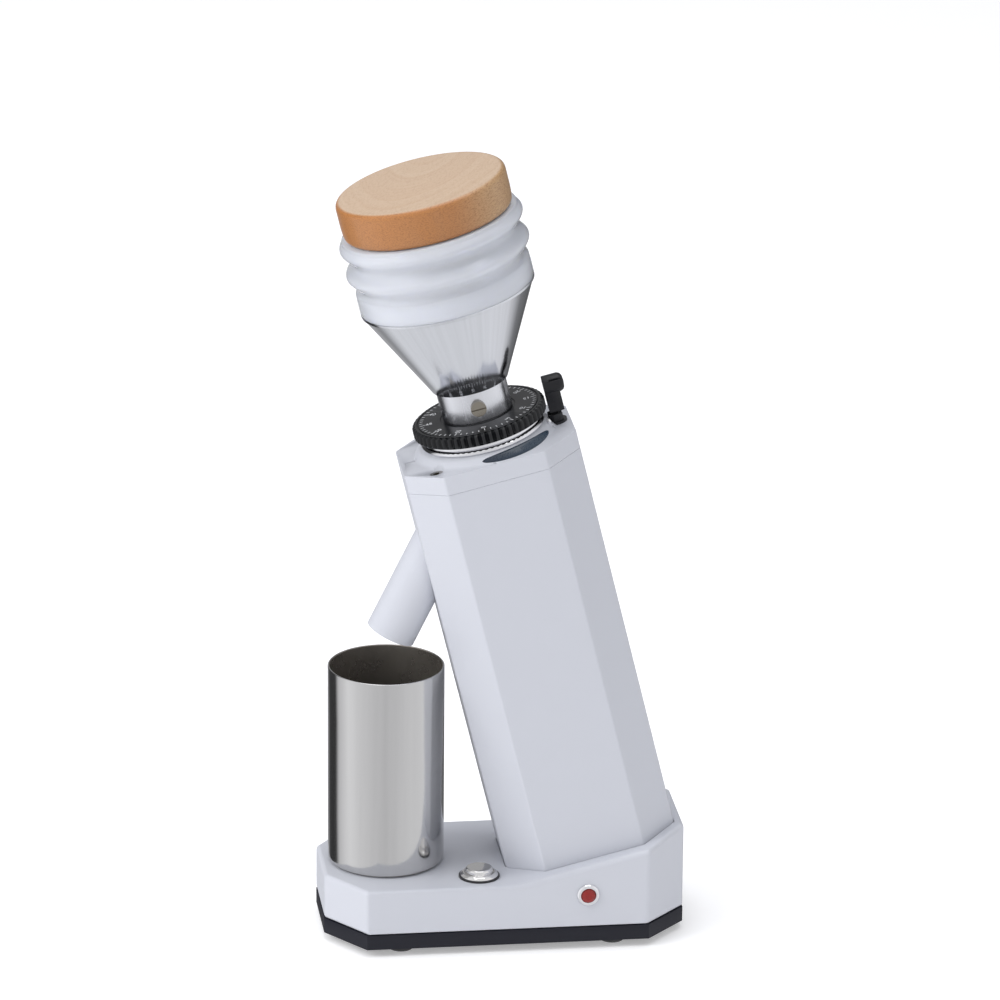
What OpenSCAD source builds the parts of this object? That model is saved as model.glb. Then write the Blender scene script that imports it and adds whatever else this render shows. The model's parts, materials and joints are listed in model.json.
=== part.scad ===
// Single-dose burr coffee grinder: a leaning eight-sided tower on a low wedge base, with a dosing cup
// under the chute, a stepless dial round the funnel, silicone bellows and a wooden lid.
// The origin is the bottom centre of the base, +Z is up, the cup stands on the -Y side and +X is the
// side with the power button. Everything in the tower shares one leaning axis.

/* [Base] */
// Length of the base, front to back
base_l = 180; // [170:1:220]
// Width of the base
base_w = 90; // [86:1:120]
// Height of the flat deck above the surface
deck_h = 35; // [33:1:42]
// Lean of the tower and rise of the rear deck, in degrees
tilt = 14; // [10:1:15]
// Distance of the crease between flat and rising deck from the base centre
crease_y = 3; // [0:0.5:6]
// Width of the front corner cuts
front_cut_x = 25; // [15:1:28]
// Length of the front corner cuts
front_cut_y = 19; // [12:1:22]
// Width of the rear corner cuts
rear_cut_x = 21; // [12:1:21]
// Length of the rear corner cuts
rear_cut_y = 20; // [12:1:20]
// Wall of the base housing and of the tray
base_wall = 2.5; // [2:0.1:3]
// Thickness of the flat deck
deck_t = 3; // [2.5:0.1:4]
// Depth of the recess that the tower stands in
seat_d = 3; // [2:0.5:4]
// Height of the dark tray strip
tray_h = 7.6; // [6:0.2:9]
// Height of the rubber feet
foot_h = 4; // [3:0.5:6]
// Diameter of the rubber feet
foot_d = 14; // [12:1:16]
// Distance of the feet from the centre line
foot_x = 33; // [30:1:34]
// Distance of the feet from the base centre, front to back
foot_y = 53; // [48:1:56]

/* [Tower] */
// Height of the tower shell along its axis
tower_h = 205; // [200:1:250]
// Depth of the tower, front to back
tower_d = 87; // [84:1:90]
// Width of the corner cuts
tower_cut_u = 17.5; // [14:0.5:18]
// Depth of the corner cuts
tower_cut_v = 18; // [14:0.5:18]
// Wall of the tower shell
tower_wall = 3; // [2.5:0.5:4]
// Distance of the tower axis from the crease, along the rising deck
tower_back = 41.7; // [41:0.1:43]
// Height of the top cap at its edge
cap_h = 9.5; // [9:0.5:12]
// Height of the raised ring in the middle of the cap
boss_h = 4.5; // [4:0.5:6]

/* [Burrs] */
// Diameter of the cone burr
burr_d = 38; // [34:1:46]
// Height of the cone burr
burr_h = 20; // [18:1:22]
// Width of the ring burr's wall
ring_burr_t = 5; // [4:0.5:6]
// Teeth on each burr
burr_teeth = 20; // [12:2:24]
// Diameter of the drive shaft
shaft_d = 8; // [6:0.5:10]
// Bearing outer diameter
bearing_d = 22; // [19:1:24]
// Bearing width
bearing_w = 7; // [6:1:8]
// Depth of the grinding chamber below the tower's top edge
chamber_depth = 39; // [37:1:42]
// Travel of the ring burr for one turn of the dial
thread_pitch = 1.5; // [1:0.25:2]

/* [Drive] */
// Module of the planetary gears
gear_module = 0.6; // [0.5:0.1:0.7]
// Width of the planetary gears
gear_w = 11; // [8:1:12]
// Diameter of the gearbox
gearbox_d = 36; // [36:1:40]
// Length of the gearbox
gearbox_l = 36; // [34:1:38]
// Diameter of the motor
motor_d = 42; // [38:1:44]
// Length of the motor
motor_l = 60; // [50:1:60]

/* [Dial] */
// Diameter of the dial over its lobes
dial_d = 66.6; // [62:0.2:68]
// Height of the dial
dial_h = 6.5; // [5:0.5:8]
// Grip lobes round the dial
dial_lobes = 60; // [40:4:72]
// Height of the fixed chrome collar
collar_h = 2.4; // [2:0.1:3]
// Thickness of the turning flange
flange_t = 1.7; // [1.6:0.1:2.5]

/* [Funnel] */
// Diameter of the neck ring
neck_d = 35; // [33:1:42]
// Height of the neck ring above the dial
neck_h = 15.6; // [14:0.2:18]
// Wall of the neck ring
neck_wall = 2; // [1.5:0.1:2.5]
// Wall of the funnel
funnel_wall = 1.2; // [1:0.1:2]
// Diameter of the funnel's lip
funnel_d = 86.8; // [80:0.2:105]
// Height of the funnel from the neck ring to the top of its lip
funnel_h = 48; // [42:1:56]

/* [Bellows and lid] */
// Height of the bellows' sleeve over the funnel's rim
sleeve_h = 10; // [8:0.5:12]
// Height of the two folds
fold_h = 28; // [24:1:32]
// Wall of the bellows
bellows_wall = 1.4; // [1.2:0.1:2]
// Depth of each fold
fold_depth = 3.4; // [2:0.2:4]
// Diameter of the lid
lid_d = 84.6; // [78:0.2:102]
// Thickness of the lid
lid_h = 19; // [15:1:22]

/* [Chute] */
// Outer diameter of the chute
chute_d = 25; // [22:1:25]
// Wall of the chute
chute_wall = 2; // [1.5:0.1:3]
// Angle of the chute from the vertical, in degrees
chute_lean = 26.3; // [24:0.1:30]
// Length of the chute outside the tower, on its axis
chute_l = 39.6; // [34:0.2:44]
// Height of the chute's axis over the chamber floor at the tower's front face
chute_drop = -6; // [-7:0.5:-5]

/* [Cup] */
// Outer diameter of the dosing cup
cup_d = 58; // [50:1:70]
// Height of the dosing cup
cup_h = 103; // [80:1:106]
// Wall of the dosing cup
cup_wall = 1; // [0.8:0.1:1.5]
// Distance of the cup in front of the base centre
cup_y = 57; // [52:1:60]

/* [Controls] */
// Sideways place of the power button
button_x = 29.5; // [28:0.5:31]
// Place of the power button in front of the base centre
button_y = 13.5; // [13:0.5:16]
// Diameter of the button cap
button_d = 13.7; // [12:0.1:14]
// Diameter of the button's chrome flange
button_flange_d = 19; // [18:0.5:20]
// Travel of the button
button_travel = 2.5; // [2:0.5:3]
// Distance of the indicator lamp behind the base centre
lamp_y = 39.3; // [36:0.1:42]
// Height of the indicator lamp
lamp_z = 28.7; // [26:0.1:30]
// Diameter of the indicator lamp's bezel
lamp_bezel_d = 11.7; // [10:0.1:13]
// Diameter of the indicator lamp's lens
lamp_d = 7; // [6:0.5:8]
// Height of the mains inlet above the surface
inlet_z = 29; // [27:1:30]

/* [Hidden] */
$fn = 96;
slip = 0.02;
run = 0.05;
play = 0.3;
eps = 0.01;
seat_gap = 0.3;

function unit(v) = v / norm(v);
function inset(p, d) = [
  for (i = [0 : len(p) - 1])
    let (before = p[(i + len(p) - 1) % len(p)], here = p[i], after = p[(i + 1) % len(p)],
         e = unit(here - before), f = unit(after - here), n = [-e.y, e.x], m = [-f.y, f.x])
      here + d * (n + m) / (1 + n * m)
];
function octagon(half, y0, y1, cut0, cut1) = [
  [-half + cut0.x, y0], [half - cut0.x, y0], [half, y0 + cut0.y], [half, y1 - cut1.y],
  [half - cut1.x, y1], [-half + cut1.x, y1], [-half, y1 - cut1.y], [-half, y0 + cut0.y]
];

// Base levels
tray_top = foot_h + tray_h;
tray_floor = foot_h + base_wall;
base_outline = octagon(base_w / 2, -base_l / 2, base_l / 2,
                       [front_cut_x, front_cut_y], [rear_cut_x, rear_cut_y]);
seat_under = seat_d + base_wall;

// Grinding chamber, from the burrs outwards; the tower's width follows from it
ring_burr_r = burr_d / 2 + ring_burr_t;
carrier_r = ring_burr_r + 3;
chamber_bore = carrier_r + run;
neck_out = carrier_r + 2.5;
chamber_r = carrier_r + 6;
tower_w = 2 * (chamber_r + 0.5 + tower_wall);
tower_outline = octagon(tower_w / 2, -tower_d / 2, tower_d / 2,
                        [tower_cut_u, tower_cut_v], [tower_cut_u, tower_cut_v]);
screw_post_r = 4.6;
boss_u = tower_w / 2 - 10.8;
boss_v = tower_d / 2 - 15.5;
stud_rise = cap_h - 2;
dial_swing = 150;
lift_gap = thread_pitch * dial_swing / 360 + 0.175;

// Levels along the tower axis
floor_w = tower_h - chamber_depth;
chamber_base_t = 8;
chamber_base = floor_w - chamber_base_t;
hub_l = 20;
hub_base = chamber_base - hub_l;
hub_r = bearing_d / 2 + 4;
clip_t = 1;
lower_bearing_w = hub_base + clip_t;
upper_bearing_w = floor_w - 4 - bearing_w;
seal_t = 3.8;
ledge_w = floor_w + 17.2;
spring_h = 3.4;
thrust_t = 1.5;
carrier_base = ledge_w + spring_h + thrust_t + 0.1;
cavity_r = ring_burr_r;
ring_burr_h = 16;
burr_base = floor_w + 20;
cap_top = tower_h + cap_h;
collar_base = cap_top + boss_h;
collar_top = collar_base + collar_h;
flange_base = collar_top + lift_gap;
dial_base = flange_base + flange_t;
dial_top = dial_base + dial_h;
collar_r = carrier_r + 4;
boss_top_r = collar_r + 1.2;
boss_foot_r = boss_top_r + 4;
flange_r = collar_r - 1;
chamber_flange_t = 4;
throat_r = 15;

// Drive levels
coupling_h = 14;
coupling_base = hub_base - 16;
gearbox_top = coupling_base - 2;
gearbox_base = gearbox_top - gearbox_l;
motor_base = gearbox_base - motor_l;
adapter_r = 25;
adapter_t = 3;
adapter_flange_r = chamber_r - 1.5;
adapter_screw_r = adapter_flange_r - 3.2;
gearbox_screw_r = 13;
screw_r = 1.5;

// Planetary stage: a fixed ring, three planets and a sun on the motor shaft
sun_teeth = 12;
planet_teeth = 18;
ring_teeth = sun_teeth + 2 * planet_teeth;
planet_count = 3;
planet_orbit = gear_module * (sun_teeth + planet_teeth) / 2;
gear_base = gearbox_base + 7;
planet_pin_r = 1.5;
pressure = 20;
addendum = 0.8;
dedendum = 1.2;
backlash = 0.05;

// Funnel levels
neck_r = neck_d / 2;
neck_top = dial_top + neck_h;
spigot_r = neck_r - 1;
spigot_base = flange_base - 4;
lip_t = 1.5;
funnel_top = neck_top + funnel_h;
rim_h = sleeve_h - 1;
funnel_lip_r = funnel_d / 2;
rim_r = funnel_lip_r - bellows_wall - 0.2;
sleeve_top = funnel_top + sleeve_h;
bellows_top = sleeve_top + fold_h;
mouth_r = funnel_lip_r - 7.4;
clamp_r = funnel_lip_r - 4.4;

// Chute, in the tower's frame: it enters the front face at chute_w
chute_turn = chute_lean + tilt;
chute_w = floor_w + chute_drop;
chute_bore = chute_d - 2 * chute_wall;
socket_face = -tower_d / 2 + tower_wall + 1;
socket_end = -(cavity_r + 7.5);
socket_half = chute_d / 2 + 4;
chute_screw_w = chute_w + 13;

// Lever
lever_base_r = 5.25;
lever_v = max(dial_d / 2 + 3.2, collar_r + lever_base_r + 0.2);
lever_pin_w = cap_top + 3.1;
fork_half = 2.6;
tongue_half = 1.2;
lever_foot = 6.2;
lever_front = -2.4;
lever_stem = 7.4;
lever_head_w = 19.8;
lever_head_r = 4.8;
lever_head_l = 10.4;
lever_slot_l = 5.8;

// Controls
barrel_r = button_d / 2 + 1.05;
gasket_t = 0.8;
flange_h = 1.8;
cap_rise = gasket_t + flange_h + button_travel - 0.1;
lamp_bore_r = lamp_d / 2;
lamp_body_r = lamp_d / 2 + 1;
inlet_w = 30.7;
inlet_h = 23.5;
inlet_body_w = 27;
inlet_body_h = 19.8;
inlet_depth = 22;
board_z = tray_floor + 5.5;
board_x = 27;
board_front = -base_l / 2 + 12;
board_rear = board_front + 54;
board_hole_x = board_x - 4;

white = [0.86, 0.88, 0.91];
black = [0.09, 0.09, 0.1];
steel = [0.72, 0.72, 0.73];
chrome = [0.82, 0.82, 0.84];
brass = [0.78, 0.62, 0.32];

// Puts its children in the frame of the rising deck, with the crease as the origin
module on_slope() {
  translate([0, crease_y, deck_h])
    rotate([tilt, 0, 0])
      children();
}

// Puts its children in the tower's frame, at a level along its axis
module in_tower(w = 0) {
  on_slope()
    translate([0, tower_back, w])
      children();
}

// Everything under the deck: the flat part up to front_lim, and the rising part
module under_top(deck_drop, slope_drop, front_lim) {
  translate([-base_w, -base_l, -base_l])
    cube([2 * base_w, base_l + front_lim, base_l + deck_h - deck_drop]);
  on_slope()
    translate([-base_w, -2 * base_l, -base_l - slope_drop])
      cube([2 * base_w, 4 * base_l, base_l]);
}

module tube(r_out, r_in, h) {
  difference() {
    cylinder(r = r_out, h = h);
    translate([0, 0, -eps])
      cylinder(r = r_in, h = h + 2 * eps);
  }
}

module at_four(x, y) {
  for (sx = [-1, 1], sy = [-1, 1])
    translate([sx * x, sy * y, 0])
      children();
}

module at_pair(x, y) {
  for (sx = [-1, 1])
    translate([sx * x, y, 0])
      children();
}

module around(n, r, start = 0) {
  for (i = [0 : n - 1])
    rotate(start + 360 / n * i)
      translate([r, 0, 0])
        children();
}

// A screw with its head below z = 0 and its shank above
module screw_up(shank_r, shank_l, head_r, head_h) {
  difference() {
    translate([0, 0, -head_h])
      cylinder(r = head_r, h = head_h);
    translate([0, 0, -head_h - eps])
      cylinder(r = head_r * 0.5, h = head_h * 0.6, $fn = 6);
  }
  cylinder(r = shank_r, h = shank_l);
}

// Base
module base_block(gap, deck_drop, slope_drop, front_lim, down = 0) {
  intersection() {
    translate([0, 0, tray_top - down])
      linear_extrude(base_l)
        polygon(inset(base_outline, gap));
    under_top(deck_drop, slope_drop, front_lim);
  }
}

module foot_places() {
  at_four(foot_x, foot_y)
    children();
}

seat_front = crease_y + (tower_back - tower_d / 2 - seat_gap) * cos(tilt) - base_wall - 0.6;
post_r = 4;

module base_housing() {
  color(white)
    difference() {
      union() {
        difference() {
          base_block(0, 0, 0, crease_y);
          base_block(base_wall, deck_t, seat_under, seat_front, eps);
        }
        intersection() {
          foot_places()
            translate([0, 0, tray_floor])
              cylinder(r = post_r, h = base_l);
          under_top(deck_t / 2, seat_d + base_wall / 2, seat_front);
        }
      }
      foot_places()
        translate([0, 0, tray_floor - eps])
          cylinder(r = screw_r + run, h = 15);
      in_tower(-seat_d)
        linear_extrude(tower_h)
          polygon(inset(tower_outline, -seat_gap));
      in_tower(-seat_under - 5)
        cylinder(r = 16, h = 10);
      in_tower(-seat_under - 5)
        at_four(boss_u, boss_v)
          cylinder(r = 2 + 2 * run, h = 10);
      translate([button_x, -button_y, deck_h - 2 * deck_t])
        cylinder(r = barrel_r + run, h = 3 * deck_t);
      translate([base_w / 2 - 2 * base_wall, lamp_y, lamp_z])
        rotate([0, 90, 0])
          cylinder(r = lamp_body_r + run, h = 3 * base_wall);
      translate([-inlet_body_w / 2 - run, base_l / 2 - 2 * base_wall, inlet_z - inlet_body_h / 2 - run])
        cube([inlet_body_w + 2 * run, 3 * base_wall, inlet_body_h + 2 * run]);
    }
}

module bottom_tray() {
  lip_gap = base_wall + 0.1;
  color(black)
    difference() {
      union() {
        translate([0, 0, foot_h])
          linear_extrude(tray_h)
            polygon(base_outline);
        translate([0, 0, tray_top - eps])
          linear_extrude(2.4)
            polygon(inset(base_outline, lip_gap));
      }
      translate([0, 0, tray_floor])
        linear_extrude(base_l)
          polygon(inset(base_outline, lip_gap + 1.6));
      foot_places()
        translate([0, 0, foot_h - eps])
          cylinder(r = screw_r + run, h = tray_h);
    }
  color(black)
    board_places()
      translate([0, 0, tray_floor - eps])
        tube(3, screw_r + run, board_z - tray_floor + eps);
}

module rubber_feet() {
  color([0.05, 0.05, 0.05])
    foot_places()
      difference() {
        union() {
          translate([0, 0, 1])
            cylinder(d = foot_d, h = foot_h - 1);
          cylinder(d1 = foot_d - 2, d2 = foot_d, h = 1);
        }
        translate([0, 0, -eps])
          cylinder(r = 3.6, h = 2 + eps);
        cylinder(r = screw_r + run, h = foot_h + eps);
      }
}

module foot_screws() {
  color(steel)
    foot_places()
      translate([0, 0, 2])
        screw_up(screw_r, foot_h + 14, 3, 1.6);
}

// Tower
module tower_shell() {
  color(white)
    difference() {
      union() {
        in_tower(-seat_d)
          linear_extrude(tower_h + seat_d)
            difference() {
              polygon(tower_outline);
              polygon(inset(tower_outline, tower_wall));
            }
        intersection() {
          in_tower(-seat_d)
            at_four(boss_u, boss_v)
              cylinder(r = screw_post_r, h = tower_h + seat_d);
          in_tower(-seat_d)
            linear_extrude(tower_h + seat_d)
              polygon(inset(tower_outline, tower_wall / 2));
        }
      }
      in_tower()
        at_four(boss_u, boss_v) {
          translate([0, 0, -seat_d - eps])
            cylinder(r = 2 + run, h = 16);
          translate([0, 0, tower_h - 16])
            cylinder(r = 2 + run, h = 17);
        }
      chute_frame()
        translate([0, 0, -2 * chute_l])
          cylinder(r = chute_d / 2 + 0.2, h = 3 * chute_l);
      in_tower(chamber_base - 0.4)
        cylinder(r = chamber_r + 0.2, h = chamber_depth + chamber_base_t + 1);
    }
}

module tower_screws() {
  color(steel)
    in_tower(-seat_under)
      at_four(boss_u, boss_v)
        screw_up(2, base_wall + 14, 3.6, 2.6);
}

module top_cap() {
  color(white)
    difference() {
      union() {
        in_tower(tower_h)
          linear_extrude(cap_h)
            polygon(tower_outline);
        in_tower(cap_top - eps)
          cylinder(r1 = boss_foot_r, r2 = boss_top_r, h = boss_h + eps);
      }
      in_tower(tower_h - eps)
        linear_extrude(chamber_flange_t + run)
          polygon(inset(tower_outline, tower_wall));
      in_tower(tower_h)
        cylinder(r = neck_out + run, h = cap_h + 2 * boss_h);
      in_tower(tower_h)
        at_pair(boss_u, -boss_v) {
          cylinder(r = 2 + run, h = cap_h + boss_h);
          translate([0, 0, cap_h - 3])
            cylinder(r = 3.7, h = boss_h + 3);
        }
      in_tower(tower_h)
        at_pair(boss_u, boss_v)
          cylinder(r = 2 + run, h = stud_rise + 0.3);
      in_tower(cap_top)
        translate([0, lever_v, 0])
          cylinder(r = lever_base_r + 0.2, h = boss_h + 1);
      in_tower(cap_top - 0.4)
        translate([0.9, -tower_d / 2 + 2.5, 0])
          cube([0.9, 5.5, 1]);
      in_tower(cap_top - 1)
        rotate(75)
          translate([boss_top_r + 1.2, 0, 0])
            cylinder(r = 1.2 + run, h = boss_h + 2);
    }
}

module cap_screws() {
  color(steel)
    in_tower(cap_top - 3)
      at_pair(boss_u, -boss_v)
        mirror([0, 0, 1])
          screw_up(2, 19, 3.4, 2.4);
  color(steel)
    in_tower(tower_h - 12)
      at_pair(boss_u, boss_v)
        cylinder(r = 2, h = 12 + stud_rise);
}

badge_turn = 27;
badge_half = 36;
badge_t = 0.5;
function badge_edge(side) = [
  for (i = [-9 : 9])
    let (a = i * 10 * side, reach = boss_top_r + 2.05 + side * 1.75 * cos(a),
         turn = badge_turn + badge_half * sin(a))
      reach * [cos(turn), sin(turn)]
];

// A lens-shaped plate on the slope of the cap's raised ring
module name_badge() {
  color([0.07, 0.13, 0.22])
    intersection() {
      difference() {
        in_tower(cap_top)
          cylinder(r1 = boss_foot_r + badge_t, r2 = boss_top_r + badge_t, h = boss_h);
        in_tower(cap_top - 0.02)
          cylinder(r1 = boss_foot_r + slip, r2 = boss_top_r + slip, h = boss_h + 0.04);
      }
      in_tower(cap_top)
        linear_extrude(boss_h)
          polygon(concat(badge_edge(1), badge_edge(-1)));
    }
}

// Chute: its frame starts where the axis crosses the tower's front face, with the chute falling along -Z
module chute_frame() {
  in_tower(chute_w)
    translate([0, -tower_d / 2, 0])
      rotate([-chute_turn, 0, 0])
        children();
}

module tower_half(from_v, to_v) {
  in_tower()
    translate([-tower_d, from_v, -tower_h])
      cube([2 * tower_d, to_v - from_v, 3 * tower_h]);
}

module chute_tube() {
  color(white)
    difference() {
      chute_frame()
        translate([0, 0, -chute_l])
          cylinder(d = chute_d, h = 2 * chute_l);
      chute_frame()
        translate([0, 0, -chute_l - 1])
          cylinder(d = chute_bore, h = 2 * chute_l + 2);
      tower_half(socket_end - slip, tower_d);
      in_tower(tower_h - 8)
        cylinder(r = tower_w, h = tower_h);
    }
}

module chute_screws() {
  color(steel)
    in_tower(chute_screw_w)
      for (side = [-1, 1])
        translate([side * (chute_d / 2 + run), socket_face + 4, 0])
          rotate([0, side * 90, 0])
            difference() {
              cylinder(r = 1.5, h = 4);
              translate([0, 0, 2.4])
                cylinder(r = 0.75, h = 2, $fn = 6);
            }
}

module grinding_chamber() {
  color(steel)
    difference() {
      union() {
        in_tower(chamber_base)
          cylinder(r = chamber_r, h = tower_h - chamber_base + eps);
        in_tower(hub_base)
          cylinder(r = hub_r, h = hub_l + eps);
        in_tower(hub_base + 4)
          for (i = [0 : 3])
            rotate(i * 90)
              translate([0, -1.5, 0])
                cube([21, 3, hub_l - 4 + eps]);
        in_tower(tower_h)
          linear_extrude(chamber_flange_t)
            polygon(inset(tower_outline, tower_wall + play));
        in_tower(tower_h)
          cylinder(r = neck_out, h = cap_h + boss_h);
        in_tower(chamber_base)
          translate([-socket_half, socket_face, 0])
            cube([2 * socket_half, -socket_face - cavity_r, tower_h - chamber_base + eps]);
      }
      in_tower(floor_w)
        cylinder(r = cavity_r, h = chamber_depth);
      in_tower(ledge_w)
        cylinder(r = chamber_bore, h = chamber_depth + cap_h + boss_h);
      in_tower(hub_base - eps)
        cylinder(r = bearing_d / 2 + slip, h = clip_t + bearing_w + eps);
      in_tower(hub_base)
        cylinder(r = bearing_d / 2 - 2, h = chamber_depth);
      in_tower(upper_bearing_w)
        cylinder(r = bearing_d / 2 + slip, h = bearing_w + 4 + eps);
      in_tower(ledge_w + spring_h - 1.5)
        rotate(90)
          translate([0, -2.1, 0])
            cube([carrier_r + 1.8, 4.2, thrust_t + 3]);
      intersection() {
        chute_frame()
          translate([0, 0, -chute_l])
            cylinder(d = chute_bore, h = 3 * chute_l);
        in_tower(floor_w)
          translate([-chute_d, -tower_d, 0])
            cube([2 * chute_d, tower_d - 10, 15.5]);
      }
      intersection() {
        chute_frame()
          translate([0, 0, -chute_l])
            cylinder(d = chute_d + 2 * slip, h = 3 * chute_l);
        tower_half(-tower_d, socket_end);
      }
      in_tower(chute_screw_w)
        translate([-tower_w / 2, socket_face + 4, 0])
          rotate([0, 90, 0])
            cylinder(r = 1.5 + run, h = tower_w);
      in_tower(tower_h - eps)
        at_four(boss_u, boss_v)
          cylinder(r = 2 + run, h = chamber_flange_t + 2 * eps);
      in_tower(chamber_base - eps)
        around(4, adapter_screw_r, 45)
          cylinder(r = screw_r + run, h = 7);
    }
}

module collar_ring() {
  color(chrome)
    in_tower(collar_base)
      tube(collar_r, chamber_bore, collar_h);
}

module stop_pin() {
  color(chrome)
    in_tower(cap_top - 1)
      rotate(75)
        translate([boss_top_r + 1.2, 0, 0]) {
          cylinder(r = 1.2, h = boss_h + 1);
          translate([0, 0, boss_h + 1])
            cylinder(r1 = 1.2, r2 = 0.7, h = 0.8);
        }
}

// Shaft and bearings
module bearing() {
  difference() {
    tube(bearing_d / 2, shaft_d / 2 + run, bearing_w);
    for (z = [-eps, bearing_w - 0.5])
      translate([0, 0, z])
        tube(bearing_d / 2 - 1.8, shaft_d / 2 + 2, 0.5 + eps);
  }
}

module lower_bearing() {
  color(steel)
    in_tower(lower_bearing_w)
      bearing();
}

module upper_bearing() {
  color(steel)
    in_tower(upper_bearing_w)
      bearing();
}

module bearing_clip() {
  color(steel)
    in_tower(hub_base)
      difference() {
        tube(bearing_d / 2, bearing_d / 2 - 2.2, clip_t - slip);
        translate([bearing_d / 2 - 3, -2, -eps])
          cube([4, 4, clip_t + 1]);
      }
}

module shaft_seal() {
  color(black)
    in_tower(upper_bearing_w + bearing_w)
      tube(bearing_d / 2, shaft_d / 2 + run, seal_t);
}

shaft_top = burr_base + 12;

module drive_shaft() {
  color(steel)
    in_tower(coupling_base + coupling_h / 2 + 0.5)
      difference() {
        cylinder(d = shaft_d, h = shaft_top - coupling_base - coupling_h / 2 - 0.5);
        translate([0, 0, shaft_top - coupling_base - coupling_h / 2 - 0.5 - 9])
          cylinder(r = 2 + slip, h = 10);
      }
}

module sweeper() {
  hub_h = burr_base - floor_w - 1;
  color(steel)
    in_tower(floor_w + 1)
      difference() {
        union() {
          cylinder(r = shaft_d / 2 + 5, h = hub_h);
          for (i = [0 : 2])
            rotate(i * 120 + 30)
              translate([0, -1.5, 0])
                cube([cavity_r - 1.5, 3, 10]);
        }
        translate([0, 0, -eps])
          cylinder(r = shaft_d / 2 + slip, h = hub_h + 1);
      }
}

module cone_burr() {
  r = burr_d / 2;
  color(steel)
    in_tower(burr_base)
      difference() {
        rotate_extrude()
          polygon([[shaft_d / 2 + slip, 0], [r - 1, 0], [r, 2], [r - 0.8, 8], [r * 0.42, burr_h],
                   [2 + slip, burr_h], [2 + slip, burr_h - 8], [shaft_d / 2 + slip, burr_h - 8]]);
        for (i = [0 : burr_teeth - 1])
          rotate(360 / burr_teeth * i)
            translate([r - 0.5, 0, 6])
              rotate([24, -38, 0])
                translate([0, -0.8, -1])
                  cube([3, 1.6, burr_h + 4]);
      }
}

module burr_bolt() {
  color(steel)
    in_tower(burr_base + burr_h)
      mirror([0, 0, 1])
        screw_up(2, 15, 4, 3);
}

module ring_burr() {
  r = burr_d / 2;
  color(steel)
    in_tower(carrier_base)
      difference() {
        rotate_extrude()
          polygon([[r + 0.4, 0], [ring_burr_r, 0], [ring_burr_r, ring_burr_h],
                   [r + 1, ring_burr_h], [r - 0.3, 6]]);
        for (i = [0 : burr_teeth - 1])
          rotate(360 / burr_teeth * i)
            translate([r - 0.6, 0, 4.5])
              rotate([-14, 5, 0])
                translate([-1.5, -0.7, 0])
                  cube([2.6, 1.4, ring_burr_h + 2]);
        around(3, ring_burr_r - 2.3, 20) {
          translate([0, 0, -eps])
            cylinder(r = 1.9, h = 1.8 + eps);
          cylinder(r = 1.1 + run, h = ring_burr_h + 1);
        }
      }
}

module ring_burr_screws() {
  color(steel)
    in_tower(carrier_base + 1.8)
      around(3, ring_burr_r - 2.3, 20)
        screw_up(1.1, ring_burr_h + 4, 1.8, 1.5);
}

carrier_h = dial_base - carrier_base;

module burr_carrier() {
  color(chrome)
    in_tower(carrier_base)
      difference() {
        union() {
          cylinder(r = carrier_r, h = carrier_h);
          translate([0, 0, carrier_h - flange_t])
            cylinder(r = flange_r, h = flange_t);
        }
        translate([0, 0, -eps])
          cylinder(r = ring_burr_r + slip, h = ring_burr_h + eps);
        translate([0, 0, ring_burr_h - eps])
          cylinder(r1 = burr_d / 2 + 0.6, r2 = throat_r, h = 5 + eps);
        cylinder(r = throat_r, h = carrier_h + 1);
        translate([0, 0, spigot_base - carrier_base])
          cylinder(r = spigot_r + slip, h = carrier_h);
        translate([0, 0, ring_burr_h - 1])
          around(3, ring_burr_r - 2.3, 20)
            cylinder(r = 1.1 + run, h = 7);
        translate([0, 0, carrier_h - flange_t - eps])
          around(3, flange_r - 1.7, 60)
            cylinder(r = 1.35, h = 0.9 + eps);
        translate([0, 0, carrier_h - flange_t - 1])
          around(3, flange_r - 1.7, 60)
            cylinder(r = 0.8 + run, h = flange_t + 2);
      }
}

module thrust_ring() {
  color(steel)
    in_tower(ledge_w + spring_h + 0.05) {
      tube(carrier_r - 0.05, ring_burr_r + 0.3, thrust_t);
      rotate(90)
        translate([carrier_r - 0.6, -2, 0])
          cube([2, 4, thrust_t]);
    }
}

module carrier_spring() {
  color(steel)
    in_tower(ledge_w)
      for (i = [0 : 2])
        translate([0, 0, i * spring_h * 0.34])
          tube(carrier_r - 0.5 - 0.3 * (i % 2), ring_burr_r + 0.3,
               spring_h * (i < 2 ? 0.34 : 0.32));
}

// Dial, neck and funnel
module adjust_dial() {
  r = dial_d / 2;
  lobe_r = PI * r / dial_lobes;
  color(black)
    in_tower(dial_base)
      difference() {
        cylinder(r = r, h = dial_h);
        around(dial_lobes, r + lobe_r * 0.35)
          translate([0, 0, -1])
            cylinder(r = lobe_r * 0.8, h = dial_h + 2, $fn = 24);
        translate([0, 0, -1])
          cylinder(r = spigot_r + slip, h = dial_h + 2);
        translate([0, 0, dial_h - 0.5])
          tube(r - 2.2, r - 2.8, 1);
        translate([0, 0, -eps])
          around(3, flange_r - 1.7, 60)
            cylinder(r = 0.8 + run, h = 4);
      }
}

module dial_screws() {
  color(steel)
    in_tower(flange_base + 0.9)
      around(3, flange_r - 1.7, 60)
        screw_up(0.8, 4.4, 1.3, 0.85);
}

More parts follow.
